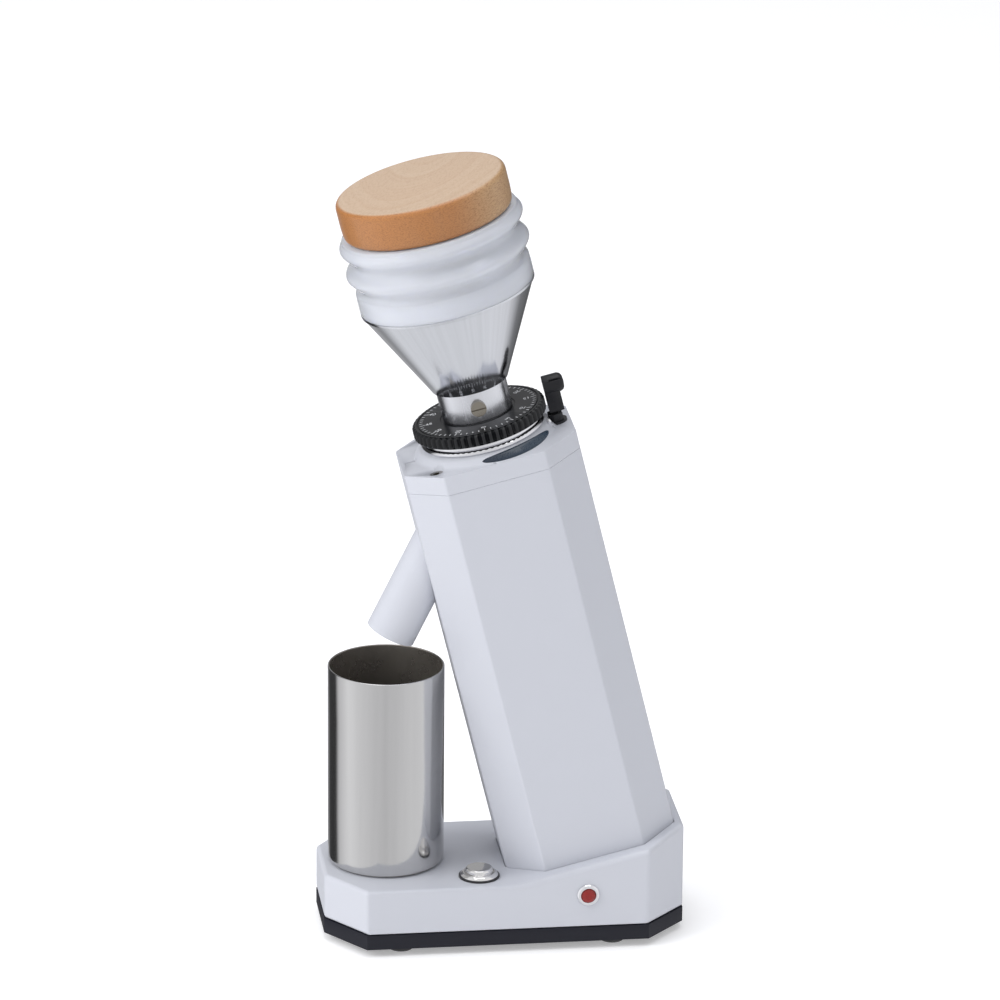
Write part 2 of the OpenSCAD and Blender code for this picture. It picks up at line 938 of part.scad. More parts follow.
module neck_ring() {
  color(steel)
    in_tower(spigot_base)
      difference() {
        union() {
          cylinder(r = spigot_r, h = neck_top - spigot_base);
          translate([0, 0, dial_top - spigot_base])
            cylinder(r = neck_r, h = neck_h);
        }
        translate([0, 0, -1])
          cylinder(r = neck_r - neck_wall - 0.7, h = neck_top);
        translate([0, 0, neck_top - spigot_base - 12])
          cylinder(r = neck_r - neck_wall + slip, h = 13);
        translate([neck_r - neck_wall - 2, 0, dial_top - spigot_base + neck_h / 2])
          rotate([0, 90, 0])
            cylinder(r = 1.6 + run, h = neck_wall + 4);
      }
}

module neck_screw() {
  color(chrome)
    in_tower(dial_top + neck_h / 2)
      rotate([0, 90, 0]) {
        translate([0, 0, neck_r - neck_wall - funnel_wall])
          cylinder(r = 1.6, h = neck_wall + funnel_wall + 1);
        translate([0, 0, neck_r + 0.1])
          difference() {
            cylinder(r = 3.85, h = 2.4);
            translate([-0.5, -5, 1.5])
              cube([1, 10, 2]);
          }
      }
}

module funnel() {
  low_out = neck_r + 1.5;
  low_in = neck_r - neck_wall - funnel_wall;
  color(chrome)
    in_tower(neck_top)
      difference() {
        rotate_extrude()
          polygon([
            [low_in, -12], [neck_r - neck_wall, -12], [neck_r - neck_wall, 0.05], [low_out, 0.05],
            [funnel_lip_r - 0.6, funnel_h - lip_t], [funnel_lip_r, funnel_h - lip_t],
            [funnel_lip_r, funnel_h],
            [rim_r, funnel_h], [rim_r, funnel_h + rim_h], [rim_r - funnel_wall, funnel_h + rim_h],
            [rim_r - funnel_wall, funnel_h - lip_t], [low_out - funnel_wall, 4], [low_in, 0]
          ]);
        translate([0, 0, -neck_h / 2])
          rotate([0, 90, 0])
            cylinder(r = 1.6 + run, h = neck_r);
      }
}

// Bellows: two round folds between the sleeve and the top rim, with their grooves at set heights
fold_steps = 28;
groove_at = 0.62;
fold_pitch = 0.51;
function fold_r(s) = funnel_lip_r + 0.6 - fold_depth / 2 * cos(360 * (s - groove_at) / fold_pitch);
function fold_line(gap) = [
  for (i = [0 : fold_steps])
    let (s = i / fold_steps)
      [fold_r(s) - gap, sleeve_top + (fold_h - bellows_wall) * s]
];
function reversed(p) = [for (i = [len(p) - 1 : -1 : 0]) p[i]];

module bellows() {
  inner = fold_line(bellows_wall);
  color([0.93, 0.94, 0.97, 0.75])
    in_tower()
      rotate_extrude()
        polygon(concat(
          [[rim_r + 0.1, funnel_top + 0.05], [funnel_lip_r, funnel_top + 0.05]],
          fold_line(0),
          [[fold_r(1), bellows_top], [mouth_r + 0.3, bellows_top],
           [mouth_r + 0.3, bellows_top - bellows_wall]],
          reversed(inner),
          [[rim_r + 0.1, sleeve_top]]
        ));
}

module bellows_ring() {
  color([0.9, 0.9, 0.9])
    in_tower(bellows_top - bellows_wall - 2.8) {
      tube(clamp_r, mouth_r - 2, 2.4);
      tube(mouth_r - 0.1, mouth_r - 2, 2.8 + bellows_wall);
    }
}

module wood_lid() {
  r = lid_d / 2;
  color([0.8, 0.58, 0.36])
    in_tower(bellows_top + 0.1)
      difference() {
        rotate_extrude()
          polygon([
            [0, -5], [mouth_r - 3, -5], [mouth_r - 3, 0], [r - 2, 0], [r - 0.5, 0.8], [r, 2.4],
            [r, lid_h - 3], [r - 0.9, lid_h - 0.9], [r - 3, lid_h], [0, lid_h]
          ]);
        translate([0, 0, -3.4])
          tube(mouth_r, mouth_r - 4.2, 1.8);
      }
}

module lid_seal() {
  color([0.8, 0.8, 0.8])
    in_tower(bellows_top + 0.1 - 3.35)
      tube(mouth_r - 2.3, mouth_r - 4.15, 1.7);
}

// Cup
module dosing_cup() {
  r = cup_d / 2;
  color(steel)
    translate([0, -cup_y, deck_h])
      rotate_extrude()
        polygon(concat(
          [[0, 0], [r - 3, 0]],
          [for (a = [-75 : 15 : 0]) [r - 3 + 3 * cos(a), 3 + 3 * sin(a)]],
          [[r, cup_h - 0.3], [r - 0.3, cup_h], [r - cup_wall, cup_h]],
          [for (a = [0 : -15 : -75]) [r - 3 + (3 - cup_wall) * cos(a), 3 + (3 - cup_wall) * sin(a)]],
          [[r - 3, cup_wall], [0, cup_wall]]
        ));
}

// Power button
module at_button(z = 0) {
  translate([button_x, -button_y, deck_h + z])
    children();
}

barrel_l = 20;
bore_floor = gasket_t + flange_h - barrel_l + 3;
cap_under = bore_floor + 6.5;

module button_bezel() {
  color(chrome)
    at_button()
      difference() {
        union() {
          translate([0, 0, gasket_t])
            cylinder(d1 = button_flange_d, d2 = button_flange_d - 1.6, h = flange_h);
          translate([0, 0, gasket_t + flange_h - barrel_l])
            cylinder(r = barrel_r, h = barrel_l - flange_h + eps);
        }
        translate([0, 0, bore_floor])
          cylinder(r = button_d / 2 + run, h = barrel_l);
      }
}

module button_gasket() {
  color(black)
    at_button()
      tube(button_flange_d / 2 + 0.7, barrel_r + run, gasket_t);
}

module button_nut() {
  color(steel)
    at_button(-deck_t - 3)
      difference() {
        cylinder(r = barrel_r + 3, h = 3, $fn = 6);
        translate([0, 0, -eps])
          cylinder(r = barrel_r + slip, h = 4);
      }
}

module button_cap() {
  r = button_d / 2;
  color(chrome)
    at_button(cap_under) {
      rotate_extrude()
        polygon([
          [0, 0], [r, 0], [r, cap_rise - cap_under - 1.2], [r - 0.5, cap_rise - cap_under - 0.4],
          [r - 1.5, cap_rise - cap_under], [0, cap_rise - cap_under]
        ]);
      translate([0, 0, -3.5])
        cylinder(r = 1.8, h = 3.5 + eps);
    }
}

module button_spring() {
  color(steel)
    at_button(bore_floor)
      tube(4.4, 2.6, cap_under - bore_floor);
}

// Indicator lamp
module at_lamp() {
  translate([base_w / 2, lamp_y, lamp_z])
    rotate([0, 90, 0])
      children();
}

module lamp_bezel() {
  color(chrome)
    at_lamp()
      difference() {
        union() {
          cylinder(d1 = lamp_bezel_d, d2 = lamp_bezel_d - 2.4, h = 1.5);
          translate([0, 0, -10])
            cylinder(r = lamp_body_r, h = 10 + eps);
          translate([0, 0, -base_wall - 2.5])
            cylinder(r = lamp_body_r + 2.2, h = 2.5, $fn = 6);
        }
        translate([0, 0, -8])
          cylinder(r = lamp_bore_r + run, h = 12);
      }
}

module lamp_lens() {
  color([0.7, 0.08, 0.06])
    at_lamp() {
      translate([0, 0, -8])
        cylinder(r = lamp_bore_r, h = 9);
      translate([0, 0, 1])
        cylinder(r1 = lamp_bore_r, r2 = lamp_bore_r - 1.5, h = 1);
    }
}

// Dial lock lever
module at_lever(w = 0) {
  in_tower(cap_top + w)
    translate([0, lever_v, 0])
      children();
}

module lever_socket() {
  pin_h = lever_pin_w - cap_top;
  color(black)
    at_lever()
      difference() {
        union() {
          cylinder(r = lever_base_r, h = 1.2);
          cylinder(r = 4.4, h = pin_h + 1.9);
        }
        translate([-fork_half, -6, 1.2])
          cube([2 * fork_half, 12, pin_h + 3]);
        translate([-6, 0, pin_h])
          rotate([0, 90, 0])
            cylinder(r = 1 + slip, h = 12);
      }
}

module lock_lever() {
  pin_h = lever_pin_w - cap_top;
  color(black)
    at_lever()
      difference() {
        union() {
          translate([-tongue_half, 0, pin_h])
            rotate([0, 90, 0])
              cylinder(r = 1.9, h = 2 * tongue_half);
          translate([-tongue_half, -1.9, pin_h])
            cube([2 * tongue_half, 3.8, lever_foot - pin_h + 1]);
          translate([-3.5, lever_front, lever_foot])
            cube([7, lever_stem, lever_head_w - lever_foot]);
          translate([0, lever_front, lever_head_w])
            rotate([-90, 0, 0])
              rotate_extrude()
                polygon([[0, 0], [lever_head_r, 0], [lever_head_r, lever_head_l - 2.6],
                         [lever_head_r - 0.7, lever_head_l - 1], [lever_head_r - 2, lever_head_l - 0.3],
                         [0, lever_head_l]]);
        }
        translate([-6, 0, pin_h])
          rotate([0, 90, 0])
            cylinder(r = 1 + run, h = 12);
        translate([0, lever_front + 3.1, lever_head_w])
          rotate([0, -38, 0])
            translate([lever_head_r - 0.5, 0, -0.4])
              cube([1, lever_slot_l, 0.8]);
      }
}

module lever_pin() {
  color(steel)
    at_lever(lever_pin_w - cap_top)
      translate([-4.2, 0, 0])
        rotate([0, 90, 0])
          cylinder(r = 1, h = 8.4);
}

module lever_springs() {
  color(steel)
    at_lever(lever_pin_w - cap_top)
      for (side = [-1, 1])
        translate([side * (fork_half + tongue_half) / 2 - 0.5, 0, 0])
          rotate([0, 90, 0])
            tube(1.7, 1 + run, 1);
}

// Motor and gearbox
module motor_can() {
  color(steel)
    in_tower(motor_base)
      difference() {
        cylinder(d = motor_d, h = motor_l - slip);
        translate([0, 0, 3])
          cylinder(d = motor_d - 3, h = motor_l - 6);
        translate([0, 0, 1])
          cylinder(r = 1.5 + run, h = motor_l);
      }
  color([0.2, 0.2, 0.21])
    in_tower(motor_base + 8)
      for (turn = [0, 180])
        rotate(turn)
          intersection() {
            tube(motor_d / 2 - 1.5 + eps, motor_d / 2 - 5, motor_l - 16);
            translate([0, -12, 0])
              cube([motor_d, 24, motor_l]);
          }
}

sun_bore = 1.5;

module motor_rotor() {
  color(steel)
    in_tower(motor_base) {
      translate([0, 0, 1.2])
        cylinder(r = sun_bore, h = motor_l + 7 + gear_w - 1.2);
      translate([0, 0, 10])
        cylinder(d = motor_d - 12, h = motor_l - 20);
      translate([0, 0, 4])
        cylinder(r = 6, h = 5);
    }
  color(brass)
    in_tower(gear_base)
      linear_extrude(gear_w)
        difference() {
          gear_shape(sun_teeth, 0);
          circle(r = sun_bore - eps);
        }
}

// Involute gear outline. outward swells it by the clearance for a ring's tooth spaces.
function involute(r, base) = r <= base ? 0 : let (a = acos(base / r)) tan(a) * 180 / PI - a;
function gear_points(teeth, add, ded, thin) =
  let (r = gear_module * teeth / 2, base = r * cos(pressure), root = r - ded * gear_module,
       tip = r + add * gear_module, half = 90 / teeth - thin / r * 180 / PI + involute(r, base),
       rs = [root, max(root + eps, min(base, r - 0.05)), r, (r + tip) / 2, tip])
    [for (i = [0 : teeth - 1], side = [-1, 1], k = [0 : 4])
      let (rk = rs[side < 0 ? k : 4 - k], turn = 360 / teeth * i + side * (half - involute(rk, base)))
        rk * [cos(turn), sin(turn)]];

module gear_shape(teeth, turn) {
  rotate(turn)
    polygon(gear_points(teeth, addendum, dedendum, backlash));
}

module gearbox_housing() {
  bore = gear_module * ring_teeth / 2 + 1.1;
  color(steel)
    in_tower(gearbox_base)
      difference() {
        cylinder(d = gearbox_d, h = gearbox_l);
        translate([0, 0, 3])
          cylinder(r = bore, h = 3.5);
        translate([0, 0, 6])
          linear_extrude(gear_w + 3)
            rotate(180 / ring_teeth)
              polygon(gear_points(ring_teeth, dedendum, addendum, -backlash));
        translate([0, 0, 8 + gear_w])
          cylinder(r = bore, h = gearbox_l - gear_w - 14);
        translate([0, 0, -eps])
          cylinder(r = 3, h = 4);
        translate([0, 0, gearbox_l - 10])
          cylinder(r = shaft_d / 2 + run, h = 11);
        translate([0, 0, gearbox_l - 5])
          around(4, gearbox_screw_r)
            cylinder(r = screw_r + run, h = 6);
      }
}

module planet(i) {
  color(brass)
    in_tower(gear_base + 0.5)
      rotate(360 / planet_count * i)
        translate([planet_orbit, 0, 0])
          linear_extrude(gear_w - 1)
            difference() {
              gear_shape(planet_teeth, 180 / planet_teeth);
              circle(r = planet_pin_r + run);
            }
}

module planet_1() {
  planet(0);
}

module planet_2() {
  planet(1);
}

module planet_3() {
  planet(2);
}

module planet_carrier() {
  plate = gear_base + gear_w + 1;
  color(steel)
    in_tower(plate) {
      cylinder(r = planet_orbit + 3.4, h = 4);
      cylinder(d = shaft_d, h = coupling_base + coupling_h / 2 - plate);
      around(planet_count, planet_orbit)
        translate([0, 0, -gear_w - 0.5])
          cylinder(r = planet_pin_r, h = gear_w + 1);
    }
}

module motor_adapter() {
  h = chamber_base - gearbox_top;
  color(steel)
    in_tower(gearbox_top)
      difference() {
        union() {
          cylinder(r = adapter_r, h = h);
          translate([0, 0, h - 4])
            cylinder(r = adapter_flange_r, h = 4);
        }
        translate([0, 0, 4])
          cylinder(r = adapter_r - adapter_t, h = h);
        translate([0, 0, -eps])
          cylinder(r = shaft_d / 2 + 5, h = 5);
        translate([0, 0, -eps])
          around(4, gearbox_screw_r)
            cylinder(r = screw_r + run, h = 5);
        translate([0, 0, h - 5])
          around(4, adapter_screw_r, 45)
            cylinder(r = screw_r + run, h = 6);
      }
}

module adapter_screws() {
  color(steel) {
    in_tower(chamber_base - 4)
      around(4, adapter_screw_r, 45)
        screw_up(screw_r, 10, 2.7, 2);
    in_tower(gearbox_top + 4)
      mirror([0, 0, 1])
        around(4, gearbox_screw_r)
          screw_up(screw_r, 8, 2.7, 2);
  }
}

module shaft_coupling() {
  color(steel)
    in_tower(coupling_base)
      difference() {
        tube(shaft_d / 2 + 4, shaft_d / 2 + slip, coupling_h);
        for (z = [coupling_h / 2 - 1, coupling_h / 2 + 2])
          translate([1, -shaft_d, z])
            cube([shaft_d, 2 * shaft_d, 0.8]);
      }
}

// Electrics in the base
module board_places() {
  for (sx = [-1, 1], y = [board_front + 4, board_rear - 4])
    translate([sx * board_hole_x, y, 0])
      children();
}

module control_board() {
  color([0.05, 0.35, 0.2])
    difference() {
      translate([-board_x, board_front, board_z])
        cube([2 * board_x, board_rear - board_front, 1.6]);
      board_places()
        translate([0, 0, board_z - 1])
          cylinder(r = screw_r + run, h = 4);
    }
  color(black)
    translate([0, board_front, board_z + 1.6 - eps]) {
      translate([-16, 8, 0])
        cube([19, 15.5, 12]);
      translate([8, 8, 0])
        cube([10, 20, 10]);
      translate([-18, 40, 0])
        cube([30, 8, 10]);
      translate([-8, 32, 0])
        cylinder(r = 5, h = 11);
      translate([6, 34, 0])
        cylinder(r = 4, h = 9);
    }
  color(steel)
    board_places()
      translate([0, 0, board_z + 1.6])
        cylinder(r = 2.6, h = 1.8);
}

module power_inlet() {
  front = base_l / 2;
  color(black)
    difference() {
      union() {
        translate([-inlet_w / 2, front - base_wall - slip - 2, inlet_z - inlet_h / 2])
          cube([inlet_w, 2, inlet_h]);
        translate([-inlet_body_w / 2, front - inlet_depth, inlet_z - inlet_body_h / 2])
          cube([inlet_body_w, inlet_depth, inlet_body_h]);
      }
      translate([-11.5, front - 15, inlet_z - 7.5])
        cube([23, 20, 15]);
    }
  color(brass)
    for (x = [-7, 0, 7])
      translate([x - 1, front - inlet_depth - 6, inlet_z - (x == 0 ? 0 : 3)])
        cube([2, inlet_depth + 3, 4]);
}

base_housing();
bottom_tray();
rubber_feet();
foot_screws();
tower_shell();
tower_screws();
top_cap();
cap_screws();
name_badge();
grinding_chamber();
collar_ring();
stop_pin();
chute_tube();
chute_screws();
lower_bearing();
upper_bearing();
bearing_clip();
shaft_seal();
drive_shaft();
sweeper();
cone_burr();
burr_bolt();
ring_burr();
ring_burr_screws();
burr_carrier();
thrust_ring();
carrier_spring();
adjust_dial();
dial_screws();
neck_ring();
neck_screw();
funnel();
bellows();
bellows_ring();
wood_lid();
lid_seal();
dosing_cup();
button_bezel();
button_gasket();
button_nut();
button_cap();
button_spring();
lamp_bezel();
lamp_lens();
lever_socket();
lock_lever();
lever_pin();
lever_springs();
motor_can();
motor_rotor();
gearbox_housing();
planet_1();
planet_2();
planet_3();
planet_carrier();
motor_adapter();
adapter_screws();
shaft_coupling();
control_board();
power_inlet();
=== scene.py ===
"""Burr coffee grinder: the looks of each piece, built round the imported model."""

import json
from math import atan2, cos, pi, radians, sin

import bmesh
import bpy
import numpy as np
from bpy.props import FloatProperty, FloatVectorProperty, IntProperty, PointerProperty
from mathutils import Matrix, Vector

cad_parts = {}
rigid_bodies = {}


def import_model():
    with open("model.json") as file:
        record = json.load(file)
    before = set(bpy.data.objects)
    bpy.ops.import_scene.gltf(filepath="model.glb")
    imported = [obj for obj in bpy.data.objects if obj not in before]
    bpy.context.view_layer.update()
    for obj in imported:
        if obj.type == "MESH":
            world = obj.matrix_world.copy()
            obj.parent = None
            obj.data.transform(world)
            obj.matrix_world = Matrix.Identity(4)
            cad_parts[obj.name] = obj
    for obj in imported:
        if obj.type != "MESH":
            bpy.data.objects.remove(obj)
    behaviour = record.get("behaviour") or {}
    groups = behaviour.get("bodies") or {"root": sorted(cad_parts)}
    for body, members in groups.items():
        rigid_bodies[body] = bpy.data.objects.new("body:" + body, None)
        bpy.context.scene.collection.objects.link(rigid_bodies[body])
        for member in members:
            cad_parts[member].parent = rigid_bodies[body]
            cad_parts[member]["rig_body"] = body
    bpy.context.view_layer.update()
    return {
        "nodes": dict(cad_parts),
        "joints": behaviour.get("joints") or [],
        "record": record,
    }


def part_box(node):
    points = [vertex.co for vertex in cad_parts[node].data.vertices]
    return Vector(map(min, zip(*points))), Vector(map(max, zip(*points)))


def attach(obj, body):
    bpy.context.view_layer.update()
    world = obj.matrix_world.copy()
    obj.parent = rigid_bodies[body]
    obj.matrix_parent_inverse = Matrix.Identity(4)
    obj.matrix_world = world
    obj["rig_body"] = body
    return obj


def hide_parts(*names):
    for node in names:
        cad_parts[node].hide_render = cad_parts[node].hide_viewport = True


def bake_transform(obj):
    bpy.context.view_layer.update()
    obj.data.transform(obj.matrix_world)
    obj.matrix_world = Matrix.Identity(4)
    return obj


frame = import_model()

bl_info = {
    "name": "Burr coffee grinder",
    "version": (1, 0, 0),
    "blender": (4, 5, 0),
    "location": "3D View > Sidebar > Grinder",
    "description": "Builds the pieces, finishes and studio of a burr coffee grinder",
    "category": "Add Mesh",
}

MM = 0.001
NODES = frame["nodes"]

# The tower frame: Z runs up the burr axis, X to the button side, with its origin on the axis
DIAL_JOINT = next(j for j in frame["joints"] if j["name"] == "dial_turn")
AXIS = Vector(DIAL_JOINT["axis"]).normalized()
TILT = atan2(-AXIS.y, AXIS.z)
ORIGIN = Vector(DIAL_JOINT["pos_m"])
TOWER = Matrix.Translation(ORIGIN) @ Matrix.Rotation(TILT, 4, "X") @ Matrix.Scale(MM, 4)
ROW = Matrix.Scale(MM, 4)


def corners(node, place):
    """A CAD node's points in millimetres, in the frame that place leads out of."""
    mesh = NODES[node].data
    found = np.empty(len(mesh.vertices) * 3)
    mesh.vertices.foreach_get("co", found)
    back = np.array(place.inverted())
    return found.reshape(-1, 3) @ back[:3, :3].T + back[:3, 3]


def reach(node, place=TOWER):
    """The lowest and highest level of a CAD node, and its widest radius, in millimetres."""
    found = corners(node, place)
    return found[:, 2].min(), found[:, 2].max(), np.hypot(found[:, 0], found[:, 1]).max()


def middle(node):
    """The place of a node's middle in the row frame, in millimetres."""
    low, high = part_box(node)
    return (low + high) / 2 / MM


CUP_AT = middle("dosing_cup")
BUTTON_AT = middle("button_cap")
LAMP_AT = middle("lamp_lens")
CUP_LOW, CUP_HIGH, _ = reach("dosing_cup", ROW)
CUP_R = (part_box("dosing_cup")[1].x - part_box("dosing_cup")[0].x) / 2 / MM
DIAL_LOW, DIAL_HIGH, DIAL_R = reach("adjust_dial")
COLLAR_LOW, COLLAR_HIGH, COLLAR_R = reach("collar_ring")
NECK_LOW, NECK_HIGH, NECK_R = reach("neck_ring")
FUNNEL_LOW, FUNNEL_HIGH, FUNNEL_R = reach("funnel")
BELLOWS_LOW, BELLOWS_HIGH, _ = reach("bellows")
LID_LOW, LID_HIGH, LID_R = reach("wood_lid")


# Settings a user would change


def length(name, default, text, top=200):
    return FloatProperty(name=name, description=text, default=default, min=0, max=top, unit="NONE")


def colour(name, default, text):
    return FloatVectorProperty(
        name=name, description=text, default=default, subtype="COLOR", size=3, min=0, max=1
    )


class GrinderSizes(bpy.types.PropertyGroup):
    """Sizes in millimetres"""

    segments: IntProperty(
        name="Segments", description="Steps round a turned piece", default=144, min=24, max=480
    )
    base_edge: length("Base edge", 2.4, "Rounding of the housing's upper edges in millimetres")
    tower_edge: length("Tower edge", 0.9, "Rounding of the tower's upright edges in millimetres")
    dial_lobes: IntProperty(
        name="Dial lobes", description="Grips round the dial", default=58, min=12, max=120
    )
    lobe_depth: length("Lobe depth", 1.5, "Depth of the grips round the dial in millimetres")
    dial_marks: IntProperty(
        name="Dial marks", description="Marks of the dial's scale", default=60, min=12, max=120
    )
    numeral_size: length("Numeral size", 3.6, "Height of the scale's numbers in millimetres")
    fold_depth: length("Fold depth", 4.0, "Depth of the folds of the bellows in millimetres")
    lid_edge: length("Lid edge", 5.6, "Rounding of the lid's upper edge in millimetres")
    cup_wall: length("Cup wall", 1.0, "Wall of the cup in millimetres")


class GrinderColours(bpy.types.PropertyGroup):
    """Finishes of the grinder"""

    paint: colour("Paint", (0.565, 0.580, 0.632), "Satin paint of the housing and tower")
    plastic: colour("Plastic", (0.0015, 0.002, 0.009), "Moulded plastic of the tray")
    dial: colour("Dial", (0.004, 0.0045, 0.006), "Anodised finish of the dial")
    maple_face: colour("Maple face", (0.56, 0.415, 0.29), "Face grain of the lid")
    maple_side: colour("Maple side", (0.43, 0.175, 0.048), "Side grain of the lid")
    silicone: colour("Silicone", (0.83, 0.855, 0.925), "Milky silicone of the bellows")
    badge: colour("Badge", (0.003, 0.008, 0.020), "Enamel of the badge")
    lens: colour("Lens", (0.27, 0.008, 0.006), "Red lens of the lamp")


# Node helpers


def add_node(tree, kind, inputs=None, **settings):
    made = tree.nodes.new(kind)
    for key, value in settings.items():
        setattr(made, key, value)
    for key, value in (inputs or {}).items():
        if isinstance(value, bpy.types.NodeSocket):
            tree.links.new(value, made.inputs[key])
        else:
            made.inputs[key].default_value = value
    return made


def calc(tree, operation, *values):
    return add_node(
        tree, "ShaderNodeMath", dict(enumerate(values)), operation=operation
    ).outputs[0]


def noise(tree, at, scale, detail):
    return add_node(
        tree, "ShaderNodeTexNoise", {"Vector": at, "Scale": scale, "Detail": detail}
    ).outputs["Fac"]


def rescaled(tree, value, low, high, to_low=0.0, to_high=1.0, smooth=False):
    """A value's stretch from low to high, carried over to to_low to to_high."""
    return add_node(
        tree,
        "ShaderNodeMapRange",
        {"Value": value, "From Min": low, "From Max": high, "To Min": to_low, "To Max": to_high},
        interpolation_type="SMOOTHSTEP" if smooth else "LINEAR",
    ).outputs["Result"]


def group(name, kind, inputs, outputs):
    """A new node group with named inputs (name, type, default) and outputs (name, type)."""
    tree = bpy.data.node_groups.new(name, kind)
    for label, form, default in inputs:
        socket = tree.interface.new_socket(label, in_out="INPUT", socket_type=form)
        if default is not None:
            socket.default_value = default
    for label, form in outputs:
        tree.interface.new_socket(label, in_out="OUTPUT", socket_type=form)
    entry, leave = tree.nodes.new("NodeGroupInput"), tree.nodes.new("NodeGroupOutput")
    return tree, entry.outputs, leave.inputs


FLOAT, VECTOR, COLOR = "NodeSocketFloat", "NodeSocketVector", "NodeSocketColor"
GEOMETRY, MATERIAL, INT = "NodeSocketGeometry", "NodeSocketMaterial", "NodeSocketInt"


# Shader groups


def surface_grain():
    """Fine unevenness of a moulded, cast or painted skin."""
    tree, given, out = group(
        "Surface grain",
        "ShaderNodeTree",
        [
            ("Vector", VECTOR, None),
            ("Scale", FLOAT, 400.0),
            ("Smoothest", FLOAT, 0.3),
            ("Roughest", FLOAT, 0.45),
        ],
        [("Roughness", FLOAT), ("Height", FLOAT), ("Mask", FLOAT)],
    )
    fine = noise(tree, given["Vector"], given["Scale"], 3.0)
    wide = noise(tree, given["Vector"], calc(tree, "MULTIPLY", given["Scale"], 0.04), 4.0)
    spread = rescaled(tree, wide, 0.3, 0.7, given["Smoothest"], given["Roughest"])
    tree.links.new(spread, out["Roughness"])
    tree.links.new(fine, out["Height"])
    tree.links.new(wide, out["Mask"])
    return tree


def turned_lines():
    """Tool marks round an axis and streaks along it, for turned and brushed metal."""
    tree, given, out = group(
        "Turned lines",
        "ShaderNodeTree",
        [
            ("Vector", VECTOR, None),
            ("Rings", FLOAT, 3000.0),
            ("Streaks", FLOAT, 20.0),
            ("Smoothest", FLOAT, 0.12),
            ("Roughest", FLOAT, 0.25),
        ],
        [("Roughness", FLOAT), ("Ring height", FLOAT), ("Streak height", FLOAT), ("Mask", FLOAT)],
    )
    part = add_node(tree, "ShaderNodeSeparateXYZ", {"Vector": given["Vector"]}).outputs
    around = calc(tree, "ARCTAN2", part["Y"], part["X"])
    radius = calc(
        tree,
        "SQRT",
        calc(
            tree,
            "ADD",
            calc(tree, "MULTIPLY", part["X"], part["X"]),
            calc(tree, "MULTIPLY", part["Y"], part["Y"]),
        ),
    )
    level = calc(tree, "ADD", part["Z"], calc(tree, "MULTIPLY", radius, 0.7))
    ring_at = add_node(
        tree,
        "ShaderNodeCombineXYZ",
        {
            "X": calc(tree, "COSINE", around),
            "Y": calc(tree, "SINE", around),
            "Z": calc(tree, "MULTIPLY", level, given["Rings"]),
        },
    )
    rings = noise(tree, ring_at.outputs[0], 1.0, 4.0)
    streak_at = add_node(
        tree,
        "ShaderNodeCombineXYZ",
        {
            "X": calc(tree, "MULTIPLY", calc(tree, "COSINE", around), given["Streaks"]),
            "Y": calc(tree, "MULTIPLY", calc(tree, "SINE", around), given["Streaks"]),
            "Z": calc(tree, "MULTIPLY", level, 8.0),
        },
    )
    streaks = noise(tree, streak_at.outputs[0], 1.0, 5.0)
    spread = rescaled(
        tree, streaks, 0.35, 0.65, given["Smoothest"], given["Roughest"]
    )
    tree.links.new(spread, out["Roughness"])
    tree.links.new(rings, out["Ring height"])
    tree.links.new(streaks, out["Streak height"])
    tree.links.new(streaks, out["Mask"])
    return tree


def dust_and_wear():
    """Masks for fine dust on what faces up and for paler edges."""
    tree, given, out = group(
        "Dust and wear",
        "ShaderNodeTree",
        [("Vector", VECTOR, None), ("Color", COLOR, None), ("Dust", FLOAT, 0.1), ("Wear", FLOAT, 0.2)],
        [("Color", COLOR)],
    )
    geometry = add_node(tree, "ShaderNodeNewGeometry").outputs
    up = add_node(tree, "ShaderNodeSeparateXYZ", {"Vector": geometry["Normal"]}).outputs["Z"]
    specks = noise(tree, given["Vector"], 900.0, 2.0)
    speck = rescaled(tree, specks, 0.5, 0.8)
    dust = calc(
        tree,
        "MULTIPLY",
        calc(tree, "MULTIPLY", calc(tree, "MAXIMUM", up, 0.0), speck),
        given["Dust"],
    )
    edge = rescaled(tree, geometry["Pointiness"], 0.52, 0.6)
    wear = calc(tree, "MULTIPLY", edge, given["Wear"])
    dusty = mix(tree, dust, given["Color"], (0.5, 0.5, 0.5, 1))
    tree.links.new(mix(tree, wear, dusty, (0.8, 0.8, 0.8, 1)), out["Color"])
    return tree


SHADER_GROUPS = {}


def shared(make):
    if make.__name__ not in SHADER_GROUPS:
        SHADER_GROUPS[make.__name__] = make()
    return SHADER_GROUPS[make.__name__]


def place_group(tree, make, **inputs):
    made = add_node(tree, "ShaderNodeGroup", node_tree=shared(make))
    for key, value in inputs.items():
        socket = made.inputs[key.replace("_", " ")]
        if isinstance(value, bpy.types.NodeSocket):
            tree.links.new(value, socket)
        else:
            socket.default_value = value
    return made.outputs


def start_material(name, tint, metallic=0.0, **constants):
    """A new material, its tree, its shader and its Object coordinates."""
    made = bpy.data.materials.new(name)
    made.use_nodes = True
    tree = made.node_tree
    shader = tree.nodes["Principled BSDF"]
    shader.inputs["Base Color"].default_value = (*tint, 1)
    shader.inputs["Metallic"].default_value = metallic
    for key, value in constants.items():
        shader.inputs[key.replace("_", " ")].default_value = value
    made.diffuse_color = (*tint, 1)
    return made, tree, shader, add_node(tree, "ShaderNodeTexCoord").outputs["Object"]


def bump(tree, shader, height, distance, strength=1.0):
    made = add_node(
        tree, "ShaderNodeBump", {"Height": height, "Distance": distance, "Strength": strength}
    )
    tree.links.new(made.outputs["Normal"], shader.inputs["Normal"])


